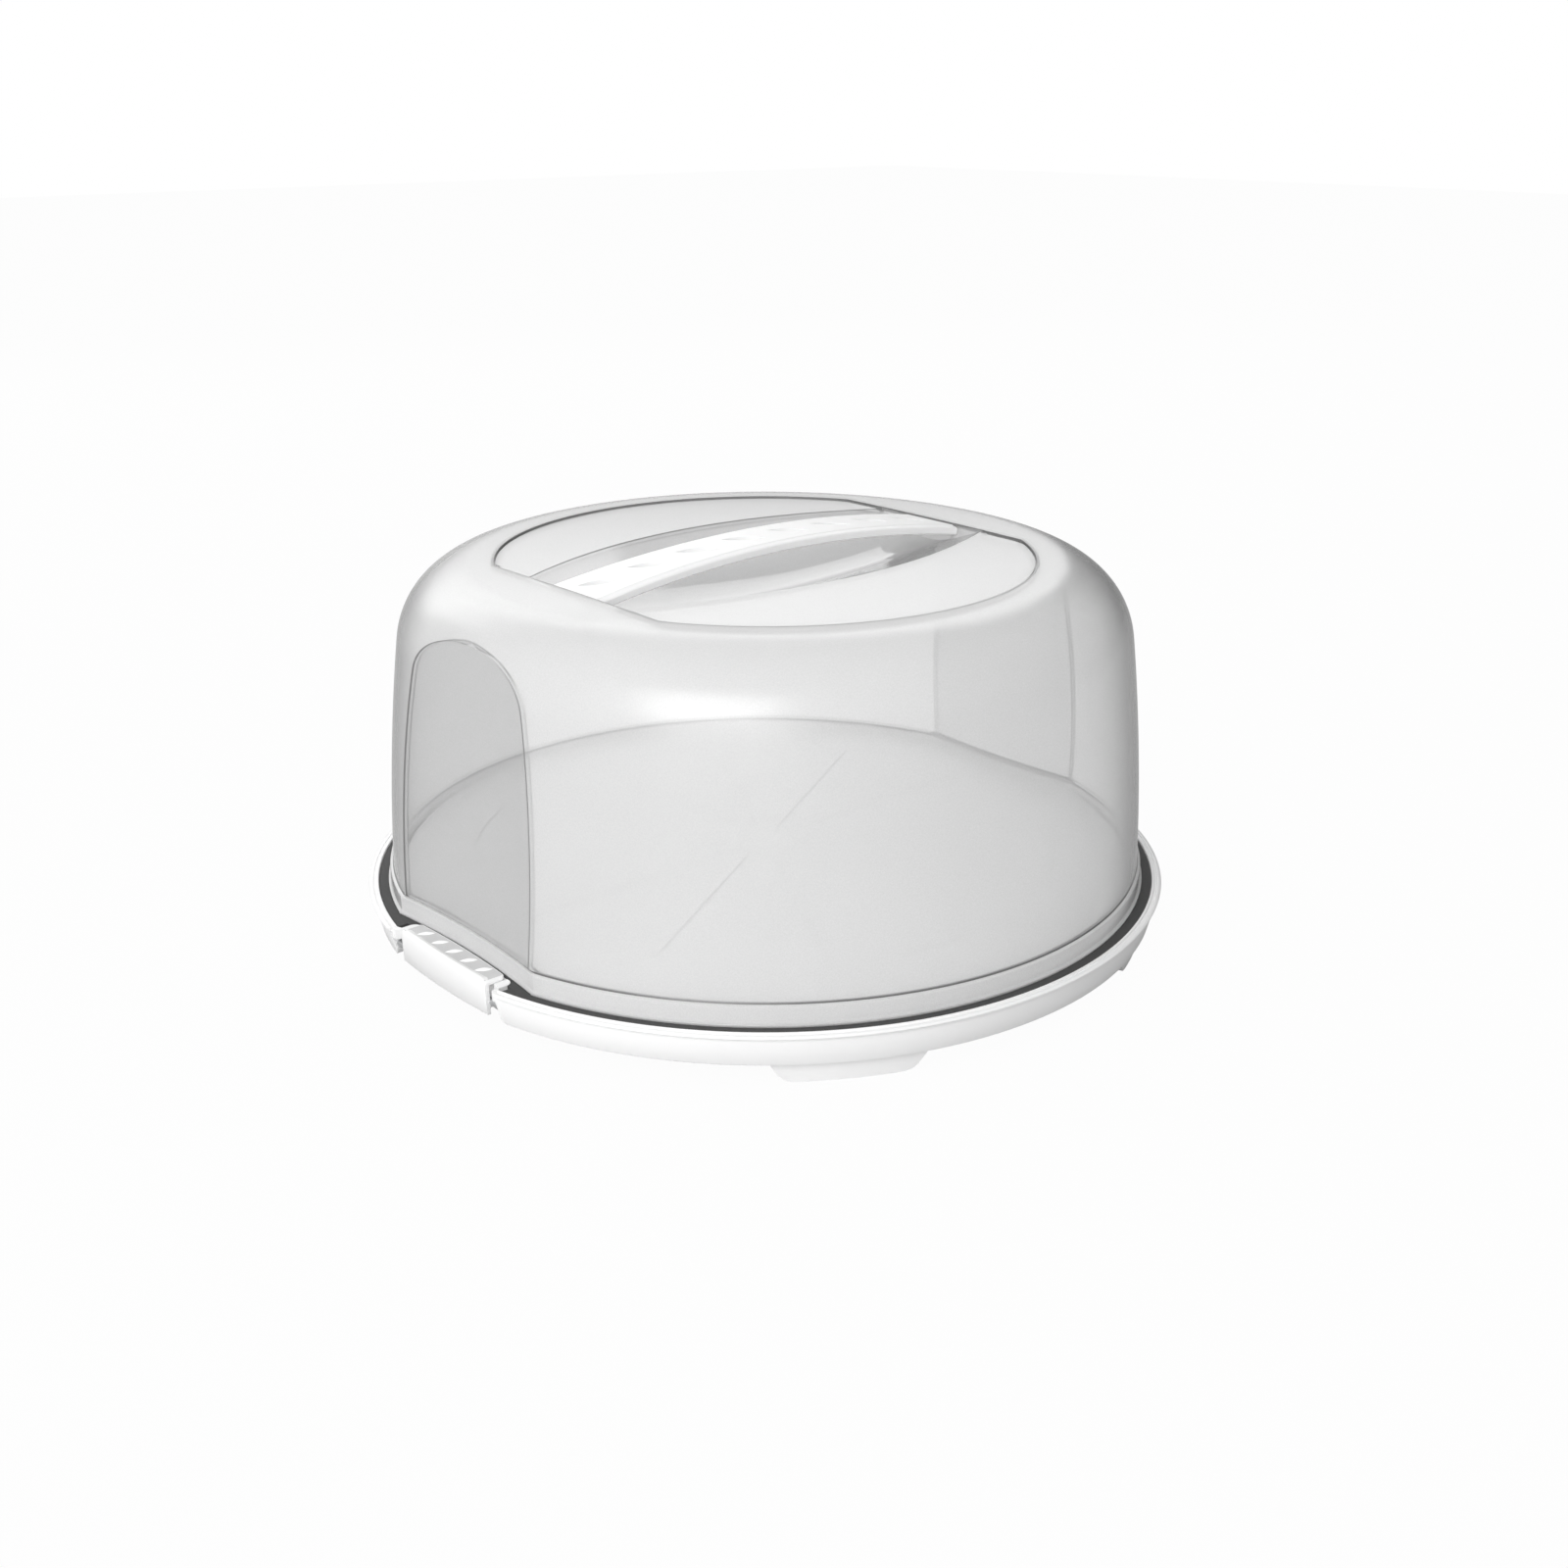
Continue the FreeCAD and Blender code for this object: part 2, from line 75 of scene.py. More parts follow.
# %% Sizes of the hood
lip_width = 1.3
lip_height = 1.2
band_height = 9.0
band_step = 1.6
panel_step = 0.3
hood_wall = 1.9
flat_radius = 420.0
flat_distance = 158.7
panel_tilt = math.radians(5.2)
draft_low = math.radians(3.5)
draft_high = math.radians(9.7)
shoulder_radius = 34.0
crown_slope = math.radians(1.85)
handle_stand = 6.0
outline_share = 0.679
outline_length_share = 0.594
outline_depth = 0.8
well_depth = 17.9
well_end_rise = 7.4
well_slope = math.radians(19.5)
well_bottom_radius = 45.0

band_radius = lip_radius - lip_width
wall_radius = band_radius - band_step
band_top_z = seal_top_z + band_height
crown_z = crest_z - handle_stand
outline_radius = outline_share * wall_radius
half_length = outline_length_share * wall_radius
print("band radius", band_radius, "crown", crown_z, "handle half length", half_length)

# %% [markdown]
# ## A helper for moulded forms
# A mesh here is a set of patches, and a patch is a list of rows of points: neighbouring rows are joined
# with four-sided faces. Booleans or a subdivided cage could give these forms too, but a row can follow a
# crease exactly, which suits mouldings. A flat end that no row covers is a cap, one face with many corners.
# The helper joins points that meet, marks creases as sharp and hangs the piece on its body.

# %% The mesh helper
WELD = 0.004


def joined(rows, close=True, finish=0, columns=None):
    """A patch; finish picks its material, and columns can give single columns another one."""
    return {"rows": rows, "close": close, "finish": finish, "columns": columns or {}}


def lay(mesh, patches, caps=()):
    """Adds patches and flat caps to a mesh and joins the points that meet."""
    for patch in patches:
        grid = [[mesh.verts.new(Vector(spot) * MM) for spot in row] for row in patch["rows"]]
        for upper, lower in zip(grid, grid[1:]):
            for here in range(len(upper) if patch["close"] else len(upper) - 1):
                there = (here + 1) % len(upper)
                face = mesh.faces.new((upper[here], upper[there], lower[there], lower[here]))
                face.material_index = patch["columns"].get(here, patch["finish"])
    for outline in caps:
        mesh.faces.new([mesh.verts.new(Vector(spot) * MM) for spot in outline])
    bmesh.ops.remove_doubles(mesh, verts=mesh.verts, dist=WELD * MM)
    bmesh.ops.recalc_face_normals(mesh, faces=mesh.faces)


def mesh_piece(name, patches, materials, body, nodes, crease=24, caps=()):
    """A mesh object that rides on a body and stands for the named solids; the crease is in degrees."""
    mesh = bmesh.new()
    lay(mesh, patches, caps)
    data = bpy.data.meshes.new(name)
    mesh.to_mesh(data)
    mesh.free()
    data.shade_smooth()
    data.set_sharp_from_angle(angle=math.radians(crease))
    for material in materials:
        data.materials.append(material)
    piece = bpy.data.objects.new(name, data)
    bpy.context.scene.collection.objects.link(piece)
    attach(piece, body)
    if nodes:
        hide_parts(*nodes)
    print(name, "faces", len(data.polygons))
    return piece


print("points closer than", WELD, "mm are joined")

# %% [markdown]
# ## Helpers for materials
# A colour picked on a screen is an sRGB value, while shaders count light. One function turns each hex value
# to linear, with the numbers of the sRGB standard. A second one adds a node with its settings and links, so
# that a material reads as a short list of what feeds what.

# %% The colour and node helpers
def colour(code):
    """sRGB hex to the linear colour that shaders use."""
    shares = [int(code[start:start + 2], 16) / 255 for start in (1, 3, 5)]
    linear = [share / 12.92 if share <= 0.04045 else ((share + 0.055) / 1.055) ** 2.4 for share in shares]
    return (*linear, 1)


def add_node(tree, kind, inputs, **settings):
    """Adds a node with its settings; an input is a value or the socket that feeds it."""
    node = tree.nodes.new(kind)
    for key, value in settings.items():
        setattr(node, key, value)
    for key, value in inputs.items():
        if isinstance(value, bpy.types.NodeSocket):
            tree.links.new(value, node.inputs[key])
        else:
            node.inputs[key].default_value = value
    return node


def new_material(name):
    """A material, its node tree and its main shader."""
    material = bpy.data.materials.new(name)
    material.use_nodes = True
    return material, material.node_tree, material.node_tree.nodes["Principled BSDF"]


print("mid grey in linear light:", round(colour("#808080")[0], 3))

# %% [markdown]
# ## White moulded polypropylene
# Tray, handle and latches are white polypropylene, injection moulded in a spark-eroded steel mould. The
# mould leaves a very fine grain and a satin gloss, with a little waviness from shrinking. A noise at the
# size of the grain gives the bump, and a broad noise changes the gloss from place to place. An image
# texture could hold the same, but noise in the piece's own space needs no unwrapping and stays sharp close
# up.

# %% White plastics
# The real grain is under a tenth of a millimetre and would be lost between pixels, so it is drawn coarser.
GRAIN = 0.55
GRIP_GRAIN = 1.0
# Shrinking waves are some centimetres long.
WAVE = 38.0
SHEEN_CHANGE = 0.05
POLYPROPYLENE_IOR = 1.49


def white_plastic(name, code, gloss, grain_depth, grain_size=GRAIN):
    """White polypropylene: its colour, roughness, and the depth and size of the mould's grain in mm."""
    material, tree, shader = new_material(name)
    place = add_node(tree, "ShaderNodeTexCoord", {})
    grain = add_node(tree, "ShaderNodeTexNoise", {
        "Vector": place.outputs["Object"], "Scale": 1 / (grain_size * MM),
        "Detail": 2.0, "Roughness": 0.55})
    wave = add_node(tree, "ShaderNodeTexNoise", {
        "Vector": place.outputs["Object"], "Scale": 1 / (WAVE * MM), "Detail": 1.0, "Roughness": 0.4})
    sheen = add_node(tree, "ShaderNodeMapRange", {
        "Value": wave.outputs["Fac"], "From Min": 0.3, "From Max": 0.7,
        "To Min": gloss - SHEEN_CHANGE, "To Max": gloss + SHEEN_CHANGE})
    bump = add_node(tree, "ShaderNodeBump", {
        "Height": grain.outputs["Fac"], "Strength": 1.0, "Distance": grain_depth * MM})
    tree.links.new(sheen.outputs["Result"], shader.inputs["Roughness"])
    tree.links.new(bump.outputs["Normal"], shader.inputs["Normal"])
    shader.inputs["Base Color"].default_value = colour(code)
    shader.inputs["IOR"].default_value = POLYPROPYLENE_IOR
    return material


# The mould's fine grain gives the tray a clean white with soft, slightly uneven highlights.
tray_plastic = white_plastic("polypropylene_moulded_white", "#f4f4f4", 0.34, 0.012)
# A duller skin: light spreads wide over the handle's arch, and its edges stay soft.
handle_plastic = white_plastic("polypropylene_moulded_handle_white", "#f6f6f6", 0.4, 0.01)
# Nearly the tray's gloss: a soft line of light runs along the latch's bead.
latch_plastic = white_plastic("polypropylene_moulded_latch_white", "#f4f4f4", 0.36, 0.012)
# A deep etched grain for the finger, without highlight; its grey is painted shade on the grained plate.
grip_grain_and_painted_shade = white_plastic("polypropylene_grained_latch_painted_shade", "#d2d2d2", 0.62, 0.16, GRIP_GRAIN)
print("white plastics:", tray_plastic.name, handle_plastic.name, latch_plastic.name, grip_grain_and_painted_shade.name)

# %% [markdown]
# ## Milky clear polypropylene
# The hood is natural polypropylene: its crystals scatter part of the light, so it looks like thin milk
# glass. Seen straight on, much of the light passes; seen along the wall, the way through the plastic is
# long and it turns denser. Volume scatter would be the true model, but it is slow and noisy in so thin a
# wall, so Layer Weight gives that change on the skin. Layer Weight also greys the colour towards a grazing
# view: that grey is painted shade. A gloss layer lies over everything, as the plastic's surface mirrors
# whether light passes below it or not: little straight on, and much at a grazing angle.

# %% The hood's plastics
SCATTERED_ON = 0.45
DENSEST = 0.9
MIRRORED_STRAIGHT = 0.04
MIRROR_POWER = 5.0


def milky_plastic(name, front, edge, dense, gloss, grain_depth):
    """Natural polypropylene: colour straight on, painted shade towards a grazing view, light stopped,
    roughness, grain.
    """
    material, tree, shader = new_material(name)
    place = add_node(tree, "ShaderNodeTexCoord", {})
    grain = add_node(tree, "ShaderNodeTexNoise", {
        "Vector": place.outputs["Object"], "Scale": 1 / (GRAIN * MM), "Detail": 2.0, "Roughness": 0.6})
    bump = add_node(tree, "ShaderNodeBump", {
        "Height": grain.outputs["Fac"], "Strength": 1.0, "Distance": grain_depth * MM})
    # The longer way through a slanting view stops more light; the grey it turns to is painted shade.
    angle = add_node(tree, "ShaderNodeLayerWeight", {"Blend": 0.5})
    stopped = add_node(tree, "ShaderNodeMapRange", {
        "Value": angle.outputs["Facing"], "From Min": 0.5, "From Max": 0.95, "To Min": dense,
        "To Max": DENSEST}, interpolation_type="SMOOTHSTEP")
    grazing_shade_share = add_node(tree, "ShaderNodeMapRange", {
        "Value": angle.outputs["Facing"], "From Min": 0.6, "From Max": 0.95},
        interpolation_type="SMOOTHSTEP")
    tone = add_node(tree, "ShaderNodeMix", {
        "Factor": grazing_shade_share.outputs["Result"], "A": colour(front), "B": colour(edge)}, data_type="RGBA")
    cloud = add_node(tree, "ShaderNodeMapRange", {
        "Value": grain.outputs["Fac"], "From Min": 0.25, "From Max": 0.75, "To Min": 0.95, "To Max": 1.05})
    speckle = add_node(tree, "ShaderNodeVectorMath", {
        0: tone.outputs["Result"], "Scale": cloud.outputs["Result"]}, operation="SCALE")
    tree.links.new(speckle.outputs["Vector"], shader.inputs["Base Color"])
    tree.links.new(bump.outputs["Normal"], shader.inputs["Normal"])
    shader.inputs["Roughness"].default_value = gloss
    shader.inputs["IOR"].default_value = POLYPROPYLENE_IOR
    shader.inputs["Specular IOR Level"].default_value = 0.0
    # Stopped light is partly thrown back and partly scattered on through the wall.
    scattered = add_node(tree, "ShaderNodeBsdfTranslucent", {"Color": speckle.outputs["Vector"]})
    passed = add_node(tree, "ShaderNodeBsdfTransparent", {"Color": (1, 1, 1, 1)})
    milk = add_node(tree, "ShaderNodeMixShader", {
        "Fac": SCATTERED_ON, 1: shader.outputs["BSDF"], 2: scattered.outputs["BSDF"]})
    skin = add_node(tree, "ShaderNodeMixShader", {
        "Fac": stopped.outputs["Result"], 1: passed.outputs["BSDF"], 2: milk.outputs["Shader"]})
    # The gloss on top grows steeply towards a grazing view, as on any clear plastic.
    steep = add_node(tree, "ShaderNodeMath", {
        0: angle.outputs["Facing"], 1: MIRROR_POWER}, operation="POWER")
    mirrored = add_node(tree, "ShaderNodeMath", {
        0: steep.outputs["Value"], 1: 1 - MIRRORED_STRAIGHT, 2: MIRRORED_STRAIGHT},
        operation="MULTIPLY_ADD")
    shine = add_node(tree, "ShaderNodeBsdfAnisotropic", {
        "Color": (1, 1, 1, 1), "Roughness": gloss, "Normal": bump.outputs["Normal"]})
    glossy = add_node(tree, "ShaderNodeMixShader", {
        "Fac": mirrored.outputs["Value"], 1: skin.outputs["Shader"], 2: shine.outputs["BSDF"]})
    tree.links.new(glossy.outputs["Shader"], tree.nodes["Material Output"].inputs["Surface"])
    return material


# The second colour of each is painted shade towards a grazing view.
# A fine grain on the thin wall: broad soft highlights, and the plate shows through as a pale shape.
hood_plastic = milky_plastic("polypropylene_natural_fine_grained", "#f2f2f2", "#949494", 0.36, 0.27, 0.004)
# Polished steel in the mould leaves the flats clear and sharp; their grey, darker than the wall, is painted
# shade.
flat_polish_and_painted_shade = milky_plastic("polypropylene_natural_polished", "#d4d4d4", "#8c8c8c", 0.4, 0.05, 0.001)
# The well is polished too, and mirrors the handle above it.
well_plastic = milky_plastic("polypropylene_natural_polished_well", "#e2e2e2", "#a0a0a0", 0.4, 0.05, 0.001)
# A dark grey on narrow strips at creases and edges: painted shade that draws them as thin dark lines.
crease_shade_plastic = milky_plastic("polypropylene_natural_painted_crease_shade", "#7c7c7c", "#6c6c6c", 0.88, 0.3, 0.002)
# The band at the foot is thick, so that it looks like a bright milky ring.
band_plastic = milky_plastic("polypropylene_natural_thick_band", "#fafafa", "#b0b0b0", 0.85, 0.2, 0.002)
hood_finishes = [hood_plastic, flat_polish_and_painted_shade, well_plastic, crease_shade_plastic, band_plastic]
WALL_FINISH, FLAT_POLISH_AND_SHADE, WELL_FINISH, PAINTED_CREASE_SHADE, BAND_FINISH = range(len(hood_finishes))
print("hood plastics:", [finish.name for finish in hood_finishes])

# %% [markdown]
# ## Seal rubber
# The seal is a soft ring moulded from grey rubber, with a dull and slightly cloudy skin. It is a plain
# ring, so the construction solid stays as it is and only gets a finish. The finish goes into the object's
# own slots, which leaves the solid's mesh untouched.

# %% Rubber on the seal
# The size of the cloudy patches on the rubber's skin, and how much they stand out.
RUBBER_CLOUD = 1.2
RUBBER_DEPTH = 0.02

# Dull and dark: it draws the even dark line between hood and rim.
seal_rubber, tree, shader = new_material("rubber_moulded_grey")
place = add_node(tree, "ShaderNodeTexCoord", {})
dust = add_node(tree, "ShaderNodeTexNoise", {
    "Vector": place.outputs["Object"], "Scale": 1 / (RUBBER_CLOUD * MM), "Detail": 3.0, "Roughness": 0.6})
tint = add_node(tree, "ShaderNodeMix", {
    "Factor": dust.outputs["Fac"], "A": colour("#3c3c3c"), "B": colour("#4a4a4a")}, data_type="RGBA")
bump = add_node(tree, "ShaderNodeBump", {
    "Height": dust.outputs["Fac"], "Strength": 1.0, "Distance": RUBBER_DEPTH * MM})
tree.links.new(tint.outputs["Result"], shader.inputs["Base Color"])
tree.links.new(bump.outputs["Normal"], shader.inputs["Normal"])
shader.inputs["Roughness"].default_value = 0.75
shader.inputs["IOR"].default_value = 1.5


def give_finish(node, finish):
    """Puts a material on a construction solid through its object's slots."""
    for material_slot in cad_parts[node].material_slots:
        material_slot.link = "OBJECT"
        material_slot.material = finish
    print(node, "gets", finish.name)


give_finish("seal_ring", seal_rubber)

# %% [markdown]
# ## Drawn steel
# The latch pins are steel rods that were drawn through a ring, which leaves fine lines along the rod. A
# noise that is stretched along the rod changes the gloss from line to line; no bump is needed on so thin a
# rod.

# %% Steel on the latch pins
# Real drawing lines are some hundredths of a millimetre wide; they are drawn coarser here, so that they
# show.
LINE_WIDTH = 0.2
LINE_STRETCH = (1, 0.03, 1)

# Bright metal with a streaky shine: the pin's end reads as a small grey dot beside the latch.
pin_steel, tree, shader = new_material("steel_drawn")
place = add_node(tree, "ShaderNodeTexCoord", {})
stretch = add_node(tree, "ShaderNodeMapping", {"Vector": place.outputs["Object"], "Scale": LINE_STRETCH})
lines = add_node(tree, "ShaderNodeTexNoise", {
    "Vector": stretch.outputs["Vector"], "Scale": 1 / (LINE_WIDTH * MM), "Detail": 2.0, "Roughness": 0.5})
dull = add_node(tree, "ShaderNodeMapRange", {"Value": lines.outputs["Fac"], "To Min": 0.2, "To Max": 0.4})
tree.links.new(dull.outputs["Result"], shader.inputs["Roughness"])
shader.inputs["Base Color"].default_value = colour("#c9cacb")
shader.inputs["Metallic"].default_value = 1.0
for node in ("latch_pin_left", "latch_pin_right"):
    give_finish(node, pin_steel)

# %% [markdown]
# ## The hood's round wall and its two flats
# The hood is a thin-walled moulding turned about the upright axis, and two hollow flats are cut into it
# where the latches are. A boolean cut would leave ragged shading on the glossy wall, so the rows are laid
# to fit: in each row the columns of the flat end exactly where the flat meets the round wall.

# %% Where a flat meets a round row
PANEL_COLUMNS = 24
END_COLUMNS = 10
SIDE_COLUMNS = 5
ARC_COLUMNS = 66
ROUND_COLUMNS = 2 * (END_COLUMNS + SIDE_COLUMNS) + ARC_COLUMNS
FLAT_BORDER = 1.0
# Near the top of its arch the flat is narrow, and the border takes a third of its half width at most.
BORDERS_IN_HALF = 3


def flat_place(y, distance):
    """How far out the hollow flat is at a place across it; the distance is that of its middle."""
    return distance + flat_radius - math.sqrt(flat_radius ** 2 - y ** 2)


def flat_half_width(radius, distance):
    """Half the width of the flat where it leaves a circle of this radius, 0 if it misses it."""
    middle = distance + flat_radius
    x = (middle ** 2 + radius ** 2 - flat_radius ** 2) / (2 * middle)
    return math.sqrt(max(0, radius ** 2 - x ** 2)) if radius > distance else 0


def ring_row(radius, z, distance, sunk_by=0, top_angles=None, top_share=0):
    """One closed row: flat at +X, round side, flat at -X, round side."""
    half = flat_half_width(radius, distance)
    edge_x = math.sqrt(radius ** 2 - half ** 2)
    start = math.asin(half / radius)
    border = min(FLAT_BORDER, half / BORDERS_IN_HALF)
    drop = sunk_by * border / FLAT_BORDER
    inner = [(half - border) * (2 * step / (PANEL_COLUMNS - 2) - 1) for step in range(PANEL_COLUMNS - 1)]
    flat = [(flat_place(y, distance) - drop if half else radius, y) for y in inner]
    flat = [(edge_x, -half)] + flat + [(edge_x, half)]
    turns = [start + (math.pi - 2 * start) * step / ROUND_COLUMNS for step in range(1, ROUND_COLUMNS)]
    if top_angles:
        turns = [top * top_share + turn * (1 - top_share) for top, turn in zip(top_angles, turns)]
    half_row = [(x, y, z) for x, y in flat]
    half_row += [(radius * math.cos(turn), radius * math.sin(turn), z) for turn in turns]
    return half_row + [(-x, -y, z) for x, y, z in half_row]


print("columns in a row:", 2 * (PANEL_COLUMNS + ROUND_COLUMNS))

# %% [markdown]
# ## The hood's profile
# Going down from the crown: a tight shoulder arc, then a slightly barrelled wall. Both are arcs that run
# into each other without a kink, so one length along the profile gives the point. The places of the two
# arcs follow from the hood's height and the angles at which the wall leans at its foot and at the shoulder.

# %% Points of the profile
lean = math.tan((draft_low + draft_high) / 2)
crown_rise = math.tan(crown_slope / 2)
shoulder_rise = shoulder_radius * (math.cos(crown_slope) - math.sin(draft_high))
shoulder_reach = shoulder_radius * (math.cos(draft_high) - math.sin(crown_slope))
wall_height = crown_z - band_top_z - shoulder_rise - crown_rise * (wall_radius - shoulder_reach)
wall_height = wall_height / (1 - crown_rise * lean)
crown_edge = wall_radius - lean * wall_height - shoulder_reach
crown_radius = crown_edge / math.sin(crown_slope)
shoulder_x = crown_edge - shoulder_radius * math.sin(crown_slope)
shoulder_z = band_top_z + wall_height - shoulder_radius * math.sin(draft_high)
shoulder_length = shoulder_radius * (math.pi / 2 - crown_slope - draft_high)
barrel_radius = wall_height / math.cos((draft_low + draft_high) / 2)
barrel_radius = barrel_radius / (2 * math.sin((draft_high - draft_low) / 2))
barrel_x = wall_radius - barrel_radius * math.cos(draft_low)
barrel_z = band_top_z - barrel_radius * math.sin(draft_low)
profile_length = shoulder_length + barrel_radius * (draft_high - draft_low)


def profile_point(length):
    """Radius and height at a length along the profile, from the crown's edge down."""
    if length < shoulder_length:
        angle = math.pi / 2 - crown_slope - length / shoulder_radius
        return (shoulder_x + shoulder_radius * math.cos(angle),
                shoulder_z + shoulder_radius * math.sin(angle))
    angle = draft_high - (length - shoulder_length) / barrel_radius
    return barrel_x + barrel_radius * math.cos(angle), barrel_z + barrel_radius * math.sin(angle)


def crown_height(radius):
    """Height of the shallow crown at a distance from its middle."""
    return crown_z - crown_radius + math.sqrt(crown_radius ** 2 - radius ** 2)


def panel_distance(z):
    """How far out the middle of the leaning flat is at a height."""
    return flat_distance - lip_width - panel_step - (z - band_top_z) * math.tan(panel_tilt)


print("crown edge", round(crown_edge, 1), "wall top", round(band_top_z + wall_height, 1))

# %% [markdown]
# The flat ends in an arch where it leaves the shoulder. There is no short formula for that place, so it is
# found by halving a stretch of the profile until nothing is left of it. The rows of the flats start there
# and lie closest below it, where the outline of the arch turns.

# %% Top of the flat's arch
HALVINGS = 60


def last_place(holds, low, high):
    """The end of the stretch from low on which a condition holds."""
    for _ in range(HALVINGS):
        middle = (low + high) / 2
        if holds(middle):
            low = middle
        else:
            high = middle
    return (low + high) / 2


def above_arch(length):
    """Whether a place on the profile still lies above the flat."""
    radius, z = profile_point(length)
    return radius < panel_distance(z)


arch_length = last_place(above_arch, 0.0, shoulder_length)
print("arch top at z", round(profile_point(arch_length)[1], 2))

# %% [markdown]
# ## The crown: sunk outline and finger well
# The middle of the crown is sunk a little inside a round outline, cut straight at the handle's ends. Under
# the handle the crown drops into a boat-shaped well with a rounded keel. Both could be pressed into a fine
# grid, but creases that cross a grid look like stairs, so the columns follow the creases.

# %% Outline and well
CREASE_SHARE = 0.985


def keel(x):
    """Height of the well's lowest line, which rises to both ends."""
    return crown_z - well_depth + well_end_rise * (x / half_length) ** 2


def well_floor(x, y):
    """Height of the well: a round bottom, then straight flanks."""
    flank = well_bottom_radius * math.sin(well_slope)
    if abs(y) < flank:
        return keel(x) + well_bottom_radius - math.sqrt(well_bottom_radius ** 2 - y ** 2)
    foot = well_bottom_radius * (1 - math.cos(well_slope))
    return keel(x) + foot + (abs(y) - flank) * math.tan(well_slope)


def well_edge(x):
    """Half width of the well where its flank meets the sunk crown."""
    return last_place(lambda y: well_floor(x, y) < crown_height(math.hypot(x, y)) - outline_depth,
                      0.0, outline_radius)


corner_y = math.sqrt(outline_radius ** 2 - half_length ** 2)
end_y = well_edge(half_length)
well_shares = [CREASE_SHARE * step / (END_COLUMNS - 1) for step in range(END_COLUMNS)] + [1.0]
chord = [end_y * share for share in well_shares]
chord += [end_y + (corner_y - end_y) * step / SIDE_COLUMNS for step in range(1, SIDE_COLUMNS + 1)]
corner_turn = math.atan2(corner_y, half_length)
arc = [corner_turn + (math.pi - 2 * corner_turn) * step / ARC_COLUMNS for step in range(ARC_COLUMNS + 1)]
outline = [(half_length, y) for y in chord[:-1]]
outline += [(outline_radius * math.cos(turn), outline_radius * math.sin(turn)) for turn in arc]
outline += [(-half_length, y) for y in reversed(chord[:-1])]
print("well half width", round(well_edge(0), 1), "to", round(end_y, 1))

# %% [markdown]
# ## Rows down the hood
# The outside is one set of closed rows: the border of the crown, the shoulder, the wall with its flats, and
# the band with the lip. Each row has the same number of points, so that the columns run through. Narrow
# strips along the outline and the flats get a dark grey: painted shade that draws their creases as lines.

# %% Rows of the hood
SHOULDER_ROWS = 16
WALL_ROWS = 46
CROWN_SHARES = (0, 0.1, 0.4, 0.7)
shade_strip_width = 1.1
flat_sink = 0.1
top_angles = [math.atan2(y, x) for x, y in outline]


def crown_row(share, margin=0.0):
    """A row of the crown's border, from the outline and its margin (0) to the shoulder (1)."""
    half_row = []
    for x, y in outline[:1] * (PANEL_COLUMNS + 1) + outline[1:-1]:
        radius = math.hypot(x, y)
        scale = (radius + margin + (crown_edge - radius - margin) * share) / radius
        half_row.append((x * scale, y * scale, crown_height(radius * scale)))
    return half_row + [(-x, -y, z) for x, y, z in half_row]


crown_rows = [crown_row(0)] + [crown_row(share, shade_strip_width) for share in CROWN_SHARES]
lengths = [arch_length * step / SHOULDER_ROWS for step in range(SHOULDER_ROWS + 1)]
lengths += [arch_length + (profile_length - arch_length) * (step / WALL_ROWS) ** 2
            for step in range(1, WALL_ROWS + 1)]
wall_rows = []
for length in lengths:
    radius, z = profile_point(length)
    share = max(0, 1 - length / arch_length)
    wall_rows.append(ring_row(radius, z, panel_distance(z), flat_sink, top_angles[1:-1], share))
print("rows of crown and wall:", len(crown_rows) + len(wall_rows))

# %% Rows of the band
band_flat = flat_distance - lip_width
lip_top_z = seal_top_z + lip_height
# Distance out from the band, and height: a rounded shelf, the upright band, a hollow, and the rounded lip.
band_section = [
    (-1.25, band_top_z - 0.6), (-0.6, band_top_z - 0.85), (-0.3, band_top_z - 0.95),
    (-0.08, band_top_z - 1.15), (0, band_top_z - 1.5), (0, lip_top_z + 0.9), (0.1, lip_top_z + 0.45),
    (0.5, lip_top_z + 0.1), (1.0, lip_top_z), (1.22, lip_top_z - 0.1), (lip_width, lip_top_z - 0.35),
    (lip_width, seal_top_z)]
band_rows = [wall_rows[-1]]
band_rows += [ring_row(band_radius + out, z, band_flat + out) for out, z in band_section]
print("rows of the band:", len(band_rows))

# %% Patches of wall and band
half_columns = PANEL_COLUMNS + ROUND_COLUMNS
flat_columns = {}
for start in (0, half_columns):
    # The flats take the polished plastic with painted shade, their first and last columns the painted
    # crease shade.
    flat_columns.update({start + step: FLAT_POLISH_AND_SHADE for step in range(PANEL_COLUMNS)})
    flat_columns.update({start: PAINTED_CREASE_SHADE, start + PANEL_COLUMNS - 1: PAINTED_CREASE_SHADE})
hood_patches = [
    # The strip along the outline gets the painted crease shade.
    joined(crown_rows[:2], finish=PAINTED_CREASE_SHADE),
    joined(crown_rows[1:] + wall_rows[:SHOULDER_ROWS + 1], finish=WALL_FINISH),
    joined(wall_rows[SHOULDER_ROWS:], finish=WALL_FINISH, columns=flat_columns),
    # The strip at the band's top gets the painted crease shade.
    joined(band_rows[:2], finish=PAINTED_CREASE_SHADE),
    joined(band_rows[1:], finish=BAND_FINISH)]
print("columns of the flats:", len(flat_columns))

# %% [markdown]
# Inside the outline the crown is lower. A narrow groove runs along the step, and painted shade on it
# draws its dark line; from there the sunk crown leads to the edge of the well on each side.

# %% Patches of the sunk crown
outline_groove = 0.7
groove_sink = 1.4
groove_radius = outline_radius - outline_groove
across = [outline_radius * math.cos(turn) for turn in arc]
step_edge = outline[END_COLUMNS:len(outline) - END_COLUMNS]


def sunk(x, y, depth=outline_depth):
    """A point of the crown, lowered."""
    return (x, y, crown_height(math.hypot(x, y)) - depth)


